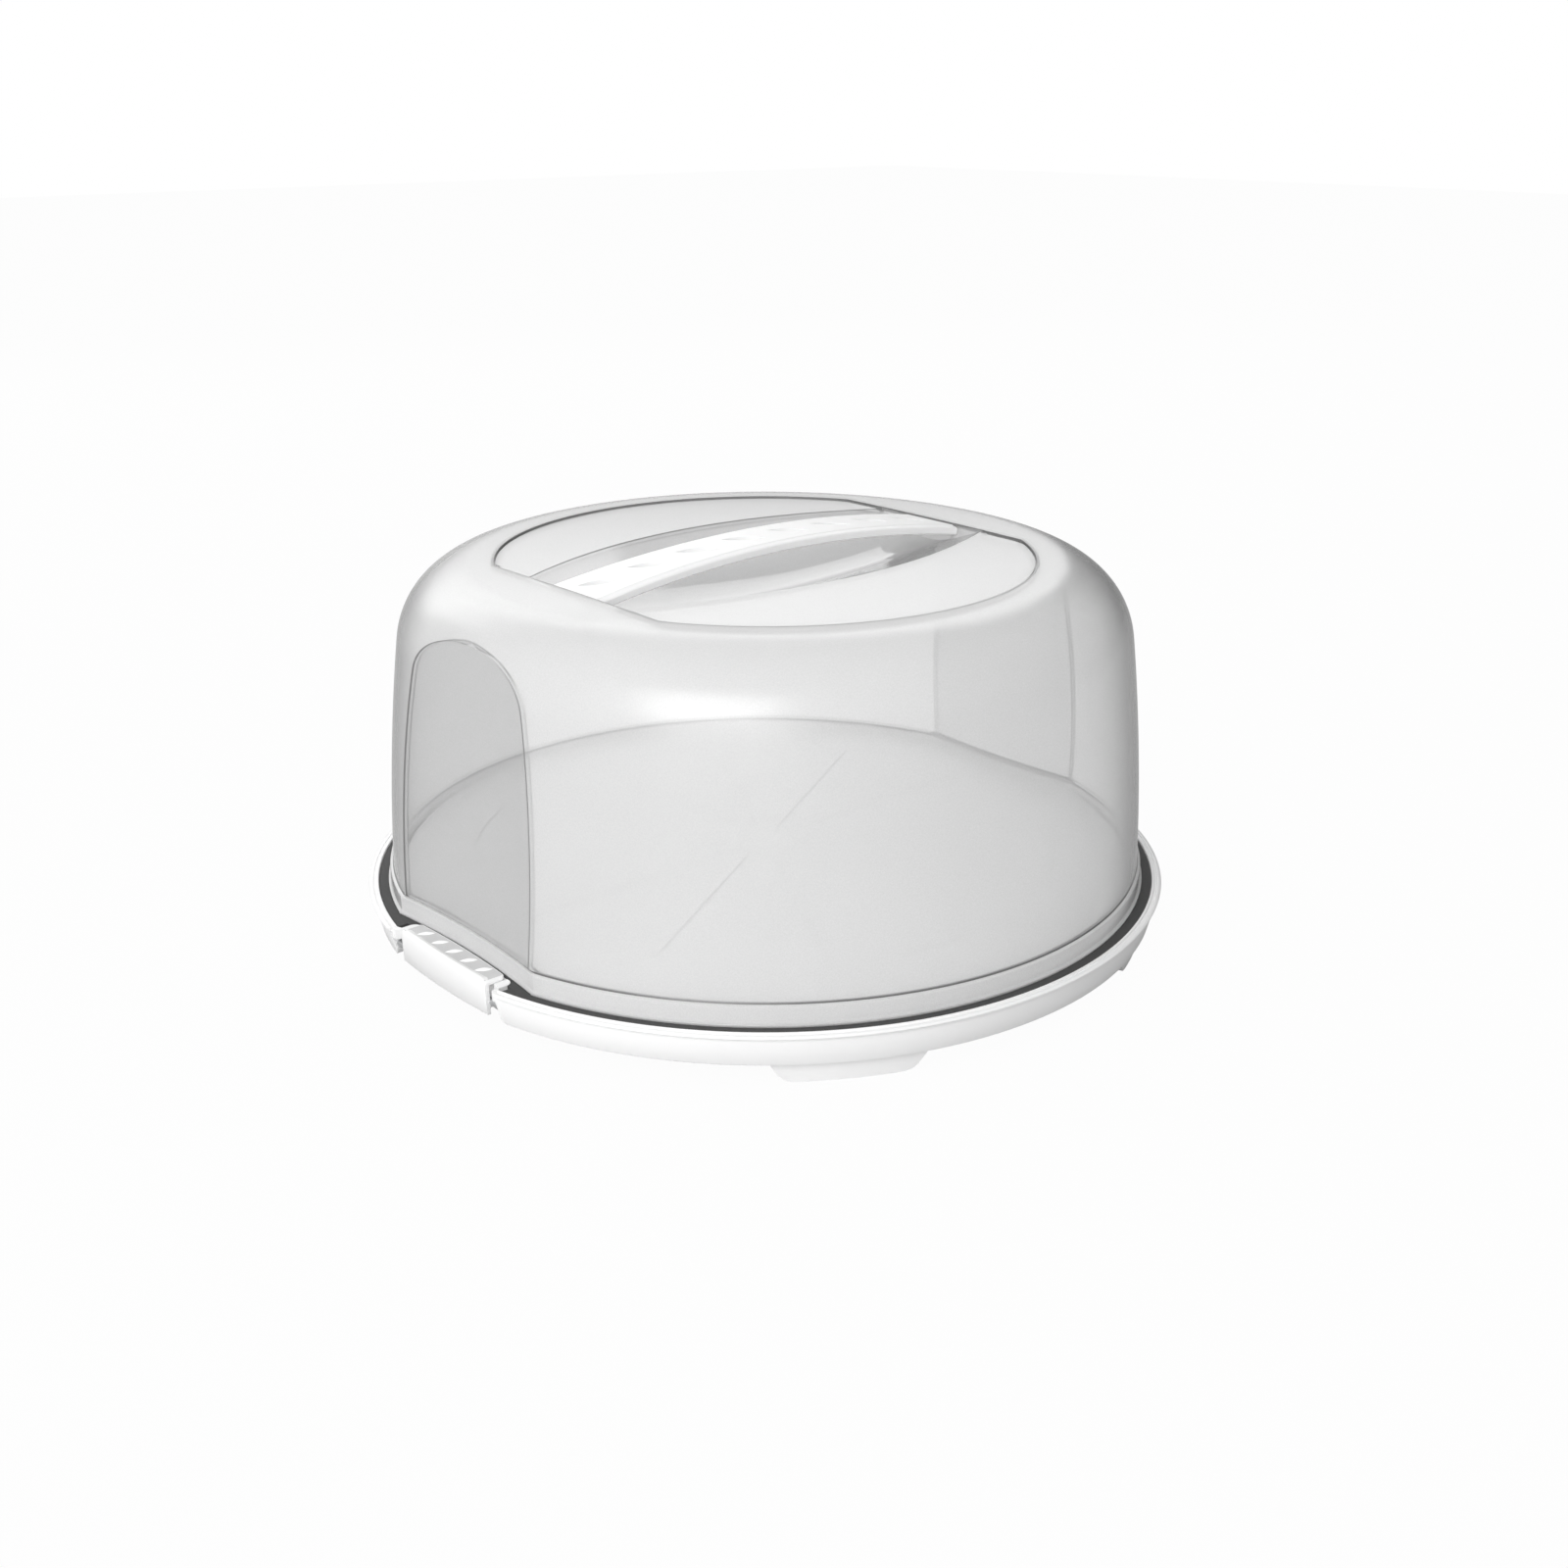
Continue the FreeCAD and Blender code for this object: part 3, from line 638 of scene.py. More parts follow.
def groove_edge(x, y):
    """The groove's inner edge beside a point of the outline; along the straight ends there is no groove."""
    if abs(x) >= half_length - WELD:
        return x, y
    return x, y * math.sqrt(max(0, groove_radius ** 2 - x ** 2) / (outline_radius ** 2 - x ** 2))


def sunk_y(x, share):
    """A place across the sunk crown, from the well's edge (0) to the groove (1)."""
    return well_edge(x) * (1 - share) + share * math.sqrt(groove_radius ** 2 - x ** 2)


inner_edge = [groove_edge(x, y) for x, y in step_edge]
for side in (1, -1):
    # The whole groove along the step is painted dark: painted crease shade.
    hood_patches.append(joined([
        [(x, side * y, crown_height(math.hypot(x, y))) for x, y in step_edge],
        [sunk(x, side * y, groove_sink) for x, y in step_edge],
        [sunk(x, side * y, groove_sink) for x, y in inner_edge],
        [sunk(x, side * y) for x, y in inner_edge]], close=False, finish=PAINTED_CREASE_SHADE))
    sunk_rows = [[sunk(x, side * sunk_y(x, step / SIDE_COLUMNS)) for x in across]
                 for step in range(SIDE_COLUMNS + 1)]
    hood_patches.append(joined(sunk_rows, close=False, finish=WALL_FINISH))
print("points along the outline's step:", len(step_edge))

# %% [markdown]
# The well is closed by an upright wall at each end. The strips beside its upper creases get the painted
# crease shade too.

# %% Patches of the well
END_ROWS = 6
both_shares = [-share for share in reversed(well_shares[1:])] + well_shares


def end_row(end, drop):
    """A row across an end wall, from the crown (0) down to the well's floor (1)."""
    row = []
    for share in both_shares:
        y = end_y * share
        top = crown_height(math.hypot(half_length, y))
        row.append((end * half_length, y, top * (1 - drop) + drop * well_floor(half_length, y)))
    return row


well_rows = [[(x, well_edge(x) * share, well_floor(x, well_edge(x) * share)) for x in across]
             for share in both_shares]
hood_patches += [
    joined(well_rows[1:-1], close=False, finish=WELL_FINISH),
    # The strips beside the well's upper creases get the painted crease shade.
    joined(well_rows[:2], close=False, finish=PAINTED_CREASE_SHADE),
    joined(well_rows[-2:], close=False, finish=PAINTED_CREASE_SHADE)]
for end in (1, -1):
    end_rows = [end_row(end, step / END_ROWS) for step in range(END_ROWS + 1)]
    # The top strip of each end wall gets the painted crease shade.
    hood_patches.append(joined(end_rows[:2], close=False, finish=PAINTED_CREASE_SHADE))
    hood_patches.append(joined(end_rows[1:], close=False, finish=WELL_FINISH))
hood_shell = mesh_piece("hood_shell", hood_patches, hood_finishes, "hood", ["hood"],
                        crease=17)

# %% [markdown]
# ## Wall thickness
# A real hood has two skins, and light that passes meets both. Solidify grows the inner skin inwards from
# the outer one, so the size outside stays true. Laying the inner rows by hand would double the work for the
# same result.

# %% Inner skin
thick = hood_shell.modifiers.new("wall", "SOLIDIFY")
thick.thickness = hood_wall * MM
thick.offset = -1.0
print("wall", hood_wall, "mm")

# %% [markdown]
# ## The tray's rim and skirt
# The rim is a ribbed bead with a skirt hanging from it, open at each latch. The section is swept round each
# half of the tray, and every point of it stops in the same upright plane at the latch opening. A turned
# section with the openings cut out would do too, but its rounded corners beside the openings would need a
# cut of their own.

# %% Section of the rim
foot_height = 9.2
skirt_taper = 3.6
tray_wall = 2.2
rim_width = 4.2
rim_top_z = 23.4
channel_z = 20.6
floor_z = 18.4
rim_inner = rim_radius - rim_width
skirt_foot = rim_radius - skirt_taper

# Distance out and height: up from the channel, over two ribs with a groove between, and under the rolled
# edge.
bead_section = [
    (rim_inner, channel_z), (rim_inner, rim_top_z - 0.5), (rim_inner + 0.15, rim_top_z - 0.15),
    (rim_inner + 0.4, rim_top_z), (rim_inner + 1.0, rim_top_z), (rim_inner + 1.2, rim_top_z - 0.2),
    (rim_inner + 1.35, rim_top_z - 0.8), (rim_inner + 2.15, rim_top_z - 0.8),
    (rim_inner + 2.4, rim_top_z - 0.35), (rim_inner + 2.7, rim_top_z - 0.25),
    (rim_inner + 3.6, rim_top_z - 0.35), (rim_inner + 4.05, rim_top_z - 0.65),
    (rim_radius, rim_top_z - 1.05), (rim_radius - 0.1, rim_top_z - 1.35),
    (rim_radius - 0.8, rim_top_z - 1.55), (rim_radius - 1.5, rim_top_z - 1.8),
    (rim_radius - 1.7, rim_top_z - 2.4), (rim_radius - 1.4, rim_top_z - 3.6)]
# Down the skirt, round its foot, and back inside to the channel.
skirt_section = [
    (skirt_foot + 0.35, foot_height + 0.9), (skirt_foot, foot_height + 0.2),
    (skirt_foot - 0.3, foot_height), (skirt_foot - tray_wall, foot_height),
    (rim_radius - tray_wall - 1.4, floor_z), (rim_inner - tray_wall, floor_z),
    (rim_inner - tray_wall, channel_z)]
rim_section = bead_section + skirt_section
print("points in the rim's section:", len(rim_section))

# %% Sweep of the rim
RIM_COLUMNS = 150
CROWDING = 0.9
seat_half = 38.7
corner_round = 4.0
rim_edge_z = 22.1


def seat_turn(radius):
    """The turn from +X at which a circle reaches the end of the latch opening."""
    return math.asin(seat_half / radius)


def rim_row(radius, z, side):
    """One line along the rim, closer together near the latch openings."""
    start = seat_turn(radius)
    row = []
    for step in range(RIM_COLUMNS + 1):
        share = step / RIM_COLUMNS
        share = share - CROWDING * math.sin(2 * math.pi * share) / (2 * math.pi)
        turn = start + (math.pi - 2 * start) * share
        x, y = radius * math.cos(turn), radius * math.sin(turn)
        near = min(corner_round, max(0, corner_round - (y - seat_half)))
        lift = corner_round - math.sqrt(corner_round ** 2 - near ** 2)
        low = foot_height + lift
        # Beside a latch the rim is trimmed to the latch's front.
        x = max(-latch_front, min(latch_front, x))
        row.append((x, side * y, max(z, low) if z < rim_edge_z - corner_round else z))
    return row


rim_patches = []
rim_caps = []
for side in (1, -1):
    sweep = [rim_row(radius, z, side) for radius, z in rim_section + rim_section[:1]]
    rim_patches.append(joined(sweep, close=False))
    rim_caps += [[row[end] for row in sweep[:-1]] for end in (0, -1)]
print("rim rows:", len(rim_section))

# %% [markdown]
# ## Ears, kerbs and corner pads at the latch openings
# At each end of a latch opening the rim stops at a wall, the ear, which holds the latch pin. Between hood
# and latch a low kerb closes the channel, and at the kerb's ends a pad closes the corner to the rim. Kerbs
# and pads are blocks with an upright outline, so each is that outline at two heights with two caps; an ear
# is three outlines, one behind the other.

# %% Ears
OPENING_ENDS = [(turn, side) for turn in (1, -1) for side in (1, -1)]
ear_thickness = 2.5
core_radius = 165.0
ear_inset = 1.9
ear_cover = 0.3
# Blocks are set in by this little, so that no two faces lie in one plane.
ear_face = 0.06
# Distance behind the opening's plane, and height of the ear's foot above the skirt's: it follows the
# skirt's rounded corner.
ear_profile = [(ear_face, 4), (0.9, 1.6), (ear_thickness, 0.4)]


def ear_row(behind, above):
    """The ear lies inside the rim's section, from the pin's boss to the skirt."""
    y, low, high = seat_half + behind, foot_height + above, channel_z - ear_cover
    reach = math.sqrt(rim_radius ** 2 - y ** 2) - rim_radius
    slant = skirt_taper / (rim_edge_z - foot_height)
    outside = rim_radius - ear_inset
    points = [(core_radius, high), (outside, high), (outside - slant * (high - low), low),
              (core_radius, low)]
    return [(-min(latch_front - ear_cover, out + reach), y, z) for out, z in points]


ear_rows = [ear_row(behind, above) for behind, above in ear_profile]
for turn, side in OPENING_ENDS:
    placed = [[(turn * x, side * y, z) for x, y, z in row] for row in ear_rows]
    rim_patches.append(joined(placed))
    rim_caps += [placed[0], placed[-1]]
print("ears:", len(OPENING_ENDS))

# %% Kerbs
KERB_STEPS = 30
pad_gap = 0.7
pad_width = 4.6
pad_outer = flat_distance + pad_gap + pad_width
pad_top = 22.1
pad_tip = 34.7
kerb_round = 1.4


def kerb_spot(step, outside):
    """A place on the kerb's inner or outer edge, both drawn in at the rounded tips."""
    y = 2 * pad_tip * step / KERB_STEPS - pad_tip
    tip = max(0, abs(y) - (pad_tip - kerb_round))
    drawn_in = kerb_round - math.sqrt(kerb_round ** 2 - tip ** 2)
    if outside:
        return pad_outer - ear_face - drawn_in, -y
    return flat_place(y, flat_distance + pad_gap) + drawn_in, y


kerb_outline = [kerb_spot(step, outside) for outside in (False, True) for step in range(KERB_STEPS + 1)]
for turn in (1, -1):
    kerb = [[(-turn * out, turn * y, z) for out, y in kerb_outline] for z in (pad_top, floor_z + ear_face)]
    rim_patches.append(joined(kerb))
    rim_caps += kerb
print("points round a kerb:", len(kerb_outline))

# %% Corner pads
BEND_STEPS = 6
corner_pad_z = 22.8
corner_pad_bend = 3.2
corner_pad_y = 31.8
corner_pad_end = 36.2
corner_pad_slant = 1.4
corner_pad_front = pad_outer + 3.2
ear_tuck = 0.8
ear_overlap = 2.2
inner_u = flat_place(corner_pad_end, flat_distance + pad_gap)
ear_u = math.sqrt(rim_inner ** 2 - seat_half ** 2)
pad_outline = [(corner_pad_front, corner_pad_y), (inner_u, corner_pad_y)]
for step in range(BEND_STEPS + 1):
    bend = math.pi / 2 * step / BEND_STEPS
    pad_outline.append((inner_u + corner_pad_bend * (1 - math.cos(bend)),
                        corner_pad_end - corner_pad_bend * (1 - math.sin(bend))))
pad_outline += [
    (ear_u - ear_tuck, corner_pad_end), (ear_u, seat_half + ear_face),
    (ear_u + ear_overlap, seat_half + ear_face), (ear_u + ear_overlap, corner_pad_end),
    (corner_pad_front, corner_pad_end - corner_pad_slant)]
for turn, side in OPENING_ENDS:
    pad = [[(turn * u, side * y, z) for u, y in pad_outline] for z in (corner_pad_z, floor_z + ear_face)]
    rim_patches.append(joined(pad))
    rim_caps += pad
print("corner pads:", len(OPENING_ENDS))

# %% [markdown]
# ## Channel and serving plate
# Inside the rim lies a channel for the seal, then the raised serving plate. The plate has flats beside the
# latches as the hood has, so its rows come from the same function as the hood's.

# %% Channel and plate
plate_gap = 3.9
bevel = 2.0
bevel_bulge = 0.6
plate_radius = band_radius - hood_wall - plate_gap
plate_flat = band_flat - hood_wall - plate_gap


def channel_row(z):
    """Outer edge of the channel floor: round, but straight at the latch openings."""
    start = seat_turn(rim_inner)
    half_row = [(pad_outer, seat_half * (2 * step / PANEL_COLUMNS - 1), z)
                for step in range(PANEL_COLUMNS + 1)]
    for step in range(1, ROUND_COLUMNS):
        turn = start + (math.pi - 2 * start) * step / ROUND_COLUMNS
        half_row.append((rim_inner * math.cos(turn), rim_inner * math.sin(turn), z))
    return half_row + [(-x, -y, z) for x, y, z in half_row]


plate_rows = [
    ring_row(plate_radius - bevel, plate_z, plate_flat - bevel),
    ring_row(plate_radius - bevel_bulge, plate_z - bevel_bulge, plate_flat - bevel_bulge),
    ring_row(plate_radius, plate_z - bevel, plate_flat),
    ring_row(plate_radius, channel_z, plate_flat),
    channel_row(channel_z),
    channel_row(floor_z),
    ring_row(plate_radius - tray_wall, floor_z, plate_flat - tray_wall),
    ring_row(plate_radius - tray_wall, plate_z - tray_wall, plate_flat - tray_wall)]
rim_patches.append(joined(plate_rows))
rim_caps.append(plate_rows[-1])
print("plate radius", plate_radius)

# %% [markdown]
# ## Portion lines
# Sunk lines mark the cake portions on the plate and show faintly through the hood. Each line runs round
# every second portion, with rounded outer corners. They are real grooves and not a bump, so that they hold
# a shadow.

# %% Portion lines
CORNER_STEPS = 8
EDGE_STEPS = 12
portion_count = 12
portion_inner = 18.0
portion_corner = 7.0
plate_border = 30.8
portion_outer = plate_radius - plate_border
groove_width = 1.5
groove_depth = 0.8


def petal(inset):
    """Outline of one cake portion with its first side on +X, drawn in by the inset."""
    span = 2 * math.pi / portion_count
    outer = portion_outer - inset
    inner = portion_inner + inset
    bend = portion_corner - inset
    reach = outer - bend
    swing = math.asin((inset + bend) / reach)
    points = [(math.sqrt(inner ** 2 - inset ** 2), inset)]
    for step in range(CORNER_STEPS + 1):
        angle = -math.pi / 2 + (swing + math.pi / 2) * step / CORNER_STEPS
        points.append((reach * math.cos(swing) + bend * math.cos(angle),
                       inset + bend + bend * math.sin(angle)))
    first_side = points[:]
    for step in range(1, EDGE_STEPS):
        angle = swing + (span - 2 * swing) * step / EDGE_STEPS
        points.append((outer * math.cos(angle), outer * math.sin(angle)))
    for x, y in reversed(first_side):
        radius, angle = math.hypot(x, y), span - math.atan2(y, x)
        points.append((radius * math.cos(angle), radius * math.sin(angle)))
    return points


def turned(points, angle, z):
    """Flat points turned about the upright axis and set at a height."""
    return [(x * math.cos(angle) - y * math.sin(angle), x * math.sin(angle) + y * math.cos(angle), z)
            for x, y in points]


groove_edges = []
for index in range(0, portion_count, 2):
    angle = index * 2 * math.pi / portion_count
    outside, inside = petal(0), petal(groove_width)
    low_z = plate_z - groove_depth
    groove = [turned(outside, angle, plate_z), turned(outside, angle, low_z),
              turned(inside, angle, low_z), turned(inside, angle, plate_z)]
    rim_patches.append(joined(groove))
    rim_caps.append(groove[-1])
    groove_edges.append(groove[0])
print("portion lines:", len(groove_edges))

# %% [markdown]
# The plate's top has six holes where the grooves start, so it is filled as one flat face with holes:
# Blender's triangle fill makes it from the outer edge and the six groove edges.

# %% Top of the plate
def filled(loops):
    """Triangles that fill a flat outline with holes."""
    mesh = bmesh.new()
    edges = []
    for loop in loops:
        spots = [mesh.verts.new(spot) for spot in loop]
        edges += [mesh.edges.new((spots[here - 1], spots[here])) for here in range(len(spots))]
    bmesh.ops.triangle_fill(mesh, use_beauty=True, edges=edges)
    faces = [[tuple(corner.co) for corner in face.verts] for face in mesh.faces]
    mesh.free()
    return faces


def without_repeats(row):
    """A row without the points that lie on the one before."""
    return [spot for here, spot in enumerate(row) if math.dist(spot, row[here - 1]) > WELD]


plate_top = filled([without_repeats(plate_rows[0])] + groove_edges)
rim_caps += plate_top
print("plate top triangles:", len(plate_top))

# %% [markdown]
# ## Feet
# Four curved feet under the skirt carry the tray. Each is a short wall along the circle, with a flat sole
# and rounded, sloping ends. It is swept along the circle as the rim is: a curved wall stays smooth that
# way.

# %% Feet
FOOT_COLUMNS = 36
foot_angles = (60, 120, 240, 300)
foot_top = 63.0
foot_bottom = 52.0
foot_thickness = 4.2
foot_setback = 2.2
foot_lean = 1.4
foot_round = 8.0
foot_tuck = 2
foot_end_tuck = 1
foot_outer = skirt_foot - foot_setback
foot_inner = foot_outer - foot_thickness


def foot_low(y):
    """Height of the foot's lower edge at a distance from its middle: flat, rounded, then sloping up."""
    slope = math.atan2(foot_height, (foot_top - foot_bottom) / 2)
    tangent = foot_round * math.tan(slope / 2)
    over = abs(y) - (foot_bottom / 2 - tangent)
    if over <= 0:
        return 0.0
    if over < foot_round * math.sin(slope):
        return foot_round - math.sqrt(foot_round ** 2 - over ** 2)
    return (abs(y) - foot_bottom / 2) * math.tan(slope)


for middle in foot_angles:
    section = ([], [], [], [])
    for step in range(FOOT_COLUMNS + 1):
        y = foot_top / 2 * math.sin(math.pi / 2 * (2 * step / FOOT_COLUMNS - 1))
        turn = math.radians(middle) + y / foot_outer
        low = min(foot_low(y), foot_height + foot_end_tuck)
        sole = foot_outer - foot_lean * (1 - low / foot_height)
        spots = ((foot_outer, foot_height + foot_tuck), (sole, low), (foot_inner, low),
                 (foot_inner, floor_z))
        for row, (radius, z) in zip(section, spots):
            row.append((radius * math.cos(turn), radius * math.sin(turn), z))
    rim_patches.append(joined([*section, section[0]], close=False))
    rim_caps += [[row[end] for row in section] for end in (0, -1)]
mesh_piece("tray_moulding", rim_patches, [tray_plastic], "tray", ["base_tray"],
           crease=28, caps=rim_caps)

# %% [markdown]
# ## The carrying handle
# The handle is an arched strap, a little wider at its ends, with bevelled edges. A curve with a bevel would
# bend as well, but the strap changes its width too, so its section is worked out at each place and swept.

# %% The strap
STRAP_COLUMNS = 160
HANDLE_CREASE = 14
handle_thickness = 4.0
handle_middle = 30.0
handle_end = 34.0
handle_bevel = 1.3
handle_clearance = 0.3
handle_reach = half_length - handle_clearance
arch_rise = crest_z - crown_height(half_length) + outline_depth
arch_radius = (half_length ** 2 + arch_rise ** 2) / (2 * arch_rise)


def strap_section(x):
    """Half a section: the top, a fine step along its edge, the bevel, the side and the underside."""
    half = handle_middle / 2 + (handle_end - handle_middle) / 2 * (x / handle_reach) ** 2
    top = crest_z - arch_radius + math.sqrt(arch_radius ** 2 - x ** 2)
    under = top - handle_thickness
    return [(half - 3.0, top), (half - 2.6, top - 0.35), (half - 2.3, top - 0.4), (half - 0.5, top - 0.8),
            (half, top - handle_bevel), (half, under + 0.5), (half - 0.5, under)]


strap_rows = []
for step in range(STRAP_COLUMNS + 1):
    x = handle_reach * (2 * step / STRAP_COLUMNS - 1)
    section = strap_section(x)
    strap_rows.append([(x, y, z) for y, z in section] + [(x, -y, z) for y, z in reversed(section)])
handle = mesh_piece("handle_strap", [joined(strap_rows)], [handle_plastic], "hood",
                    ["carry_handle"], crease=HANDLE_CREASE, caps=[strap_rows[0], strap_rows[-1]])

# %% [markdown]
# Eight slanted slots go through the strap, pointed at both ends. They are cut with a boolean: on a strap
# that bends one way only, that leaves clean flat faces. The cut is then fixed in the mesh, and the cutter
# goes.

# %% Slots of the handle
SLOT_STEPS = 20
slot_count = 8
slot_length = 18.3
slot_width = 5.4
slot_angle = math.radians(-31)
slot_margin = 13.55
slot_reach = half_length - slot_margin
cutter_low_z = crest_z - 30
cutter_high_z = crest_z + 5


def lens(length, width, steps):
    """Outline of a pointed oval with its long axis on X."""
    bow = ((length / 2) ** 2 + (width / 2) ** 2) / width
    upper = []
    for step in range(steps + 1):
        x = length * (step / steps - 0.5)
        upper.append((x, math.sqrt(bow ** 2 - x ** 2) - bow + width / 2))
    return upper + [(x, -y) for x, y in reversed(upper[1:-1])]


slot_outline = lens(slot_length, slot_width, SLOT_STEPS)
slot_patches = []
slot_caps = []
for index in range(slot_count):
    middle = slot_reach * (2 * index / (slot_count - 1) - 1)
    rows = [[(x + middle, y, z) for x, y, z in turned(slot_outline, slot_angle, height)]
            for height in (cutter_low_z, cutter_high_z)]
    slot_patches.append(joined(rows))
    slot_caps += rows
slot_cutter = mesh_piece("slot_cutter", slot_patches, [], "hood", [], caps=slot_caps)
cut = handle.modifiers.new("slots", "BOOLEAN")
cut.object = slot_cutter
cut.solver = "EXACT"
bpy.context.view_layer.update()
cut_mesh = bpy.data.meshes.new_from_object(handle.evaluated_get(bpy.context.evaluated_depsgraph_get()))
handle.modifiers.clear()
handle.data = cut_mesh
handle.data.set_sharp_from_angle(angle=math.radians(HANDLE_CREASE))
bpy.data.objects.remove(slot_cutter)
print("handle faces after the slots:", len(handle.data.polygons))

# %% [markdown]
# At each end a flat tab runs on from the strap under the hood's skin and holds the handle. It shows as a
# soft darker patch through the milky plastic. A boolean union could join it to the strap; as the joint lies
# hidden, the tab is laid into the same mesh as a block of its own that reaches into the strap.

# %% Tabs of the handle
TAB_STEPS = 8
tab_half = 14.0
tab_reach = 10.0
tab_round = 8.0
tab_thickness = 2.0
tab_clearance = 0.3
tab_start = handle_reach - handle_thickness
tab_top = crown_height(math.hypot(half_length + tab_reach, tab_half)) - hood_wall - tab_clearance
tab_outline = [(tab_start, tab_half)]
for side in (1, -1):
    for step in range(TAB_STEPS + 1):
        bend = math.pi / 2 * (step / TAB_STEPS if side < 0 else 1 - step / TAB_STEPS)
        tab_outline.append((half_length + tab_reach - tab_round * (1 - math.cos(bend)),
                            side * (tab_half - tab_round * (1 - math.sin(bend)))))
tab_outline.append((tab_start, -tab_half))
strap = bmesh.new()
strap.from_mesh(handle.data)
for end in (1, -1):
    tab_rows = [[(end * x, end * y, z) for x, y in tab_outline] for z in (tab_top, tab_top - tab_thickness)]
    lay(strap, [joined(tab_rows)], tab_rows)
strap.to_mesh(handle.data)
strap.free()
handle.data.set_sharp_from_angle(angle=math.radians(HANDLE_CREASE))
print("tab top at", round(tab_top, 1))

# %% [markdown]
# ## The latches
# Each latch is a bowed cover with a grained plate on top and a soft bead along its front edge. A box with
# rounded edges would come close, but the bead fades out to both ends, so the section is worked out anew at
# each place along the latch and swept.

# %% Section of the latch
latch_half = 31.5
latch_gap = 1.6
latch_bow = 1.4
latch_plate_z = 24.4
latch_plate = 1.7
latch_wall = 1.8
latch_bottom = 10.1
ridge = 0.9
ridge_end = 1.6
ridge_fade = 6
plate_round = 2.0
end_round = 0.9


def latch_face(y):
    """How far out the latch's bowed front is."""
    return latch_front - latch_bow * (y / latch_half) ** 2


def latch_section(y):
    """Section at one place along the latch: distance out from the middle of the tray, and height."""
    front = latch_face(y)
    tip = max(0, abs(y) - (latch_half - plate_round))
    inner = flat_place(y, flat_distance + latch_gap) + plate_round - math.sqrt(plate_round ** 2 - tip ** 2)
    over = max(0, abs(y) - (latch_half - end_round))
    top = latch_plate_z - end_round + math.sqrt(end_round ** 2 - over ** 2)
    crest = ridge * (1 - min(1, abs(y) / (latch_half - ridge_end)) ** ridge_fade)
    under = latch_plate_z - latch_plate
    return [
        (inner, under), (inner, top - 0.4), (inner + 0.15, top - 0.1), (inner + 0.5, top),
        (front - 3.6, top), (front - 3.2, top + 0.15 * crest), (front - 2.7, top + 0.6 * crest),
        (front - 2.2, top + 0.9 * crest), (front - 1.6, top + crest),
        (front - 1.0, top + 0.8 * crest - 0.05), (front - 0.4, top + 0.3 * crest - 0.3),
        (front, top - 1.1), (front - 0.1, latch_bottom + 0.5), (front - 0.5, latch_bottom),
        (front - latch_wall, latch_bottom), (front - latch_wall, under)]


print("points in the latch's section:", len(latch_section(0)))

# %% [markdown]
# Under the cover an end wall with a round boss takes the pin, and on the plate five small raised drops give
# grip. A drop is a stack of shrinking pointed ovals, the shape of the handle's slots.

# %% Bosses and marks
BOSS_STEPS = 12
MARK_RINGS = 6
MARK_STEPS = 12
pin_u = 168.2
pin_z = 15.2
boss_radius = 3.2
wall_tuck = 0.3
wall_cover = 0.6
mark_count = 5
mark_pitch = 10.8
mark_length = 7.6
mark_width = 2.4
mark_height = 0.9
mark_sunk = 0.05
mark_tip = 0.02
mark_setback = 7.4


def boss_outline(y):
    """End wall of the latch with the round boss that the pin passes through."""
    front = latch_face(y) - wall_cover
    under = latch_plate_z - latch_plate + wall_tuck
    low = latch_bottom + wall_tuck
    points = [(pin_u - boss_radius, under), (front, under), (front, low), (front - latch_wall, low)]
    for step in range(BOSS_STEPS + 1):
        angle = -math.pi / 2 - math.pi / 2 * step / BOSS_STEPS
        points.append((pin_u + boss_radius * math.cos(angle), pin_z + boss_radius * math.sin(angle)))
    return points


def mark_rows(offset):
    """A small raised drop on the plate, highest along its middle."""
    rows = []
    for ring in range(MARK_RINGS + 1):
        share = ring / MARK_RINGS
        size = max(share, mark_tip)
        height = latch_plate_z - mark_sunk + mark_height * (1 - share ** 2)
        spots = turned(lens(mark_length * size, mark_width * size, MARK_STEPS), slot_angle, height)
        rows.append([(x - latch_front + mark_setback, y + offset, z) for x, y, z in spots])
    return rows


print("points round a boss:", len(boss_outline(latch_half)))

# %% [markdown]
# Both latches come from one function; the second is the first turned by half a turn. The grain lies only on
# the level top of the plate, so the faces there are picked by their direction and height.

# %% Both latches
LATCH_COLUMNS = 44
LEVEL = 0.99
AT_HEIGHT = 0.02
wall_setback = 1.6
grain_border = 1.2
latch_finishes = [latch_plastic, grip_grain_and_painted_shade]
GRAINED_AND_SHADED = latch_finishes.index(grip_grain_and_painted_shade)


def latch(name, body, node, turn):
    """One latch with its end walls and marks; the turn is 1 at -X and -1 at +X."""
    rows = []
    for step in range(LATCH_COLUMNS + 1):
        y = latch_half * math.sin(math.pi / 2 * (2 * step / LATCH_COLUMNS - 1))
        rows.append([(-turn * out, turn * y, z) for out, z in latch_section(y)])
    patches = [joined(rows)]
    caps = [rows[0], rows[-1]]
    wall_y = latch_half - wall_setback
    for side in (1, -1):
        wall = [[(-turn * out, turn * y, z) for out, z in boss_outline(y)]
                for y in (side * wall_y, side * (wall_y - latch_wall))]
        patches.append(joined(wall))
        caps += wall
    for index in range(mark_count):
        marks = mark_rows((index - (mark_count - 1) / 2) * mark_pitch)
        marks = [[(turn * x, turn * y, z) for x, y, z in row] for row in marks]
        patches.append(joined(marks))
        caps += [marks[0], marks[-1]]
    piece = mesh_piece(name, patches, latch_finishes, body, [node],
                       crease=40, caps=caps)
    for face in piece.data.polygons:
        level = face.normal.z > LEVEL and abs(face.center.z / MM - latch_plate_z) < AT_HEIGHT
        if level and abs(face.center.y / MM) < latch_half - grain_border:
            # The grained plate also gets its grey, which is painted shade.
            face.material_index = GRAINED_AND_SHADED


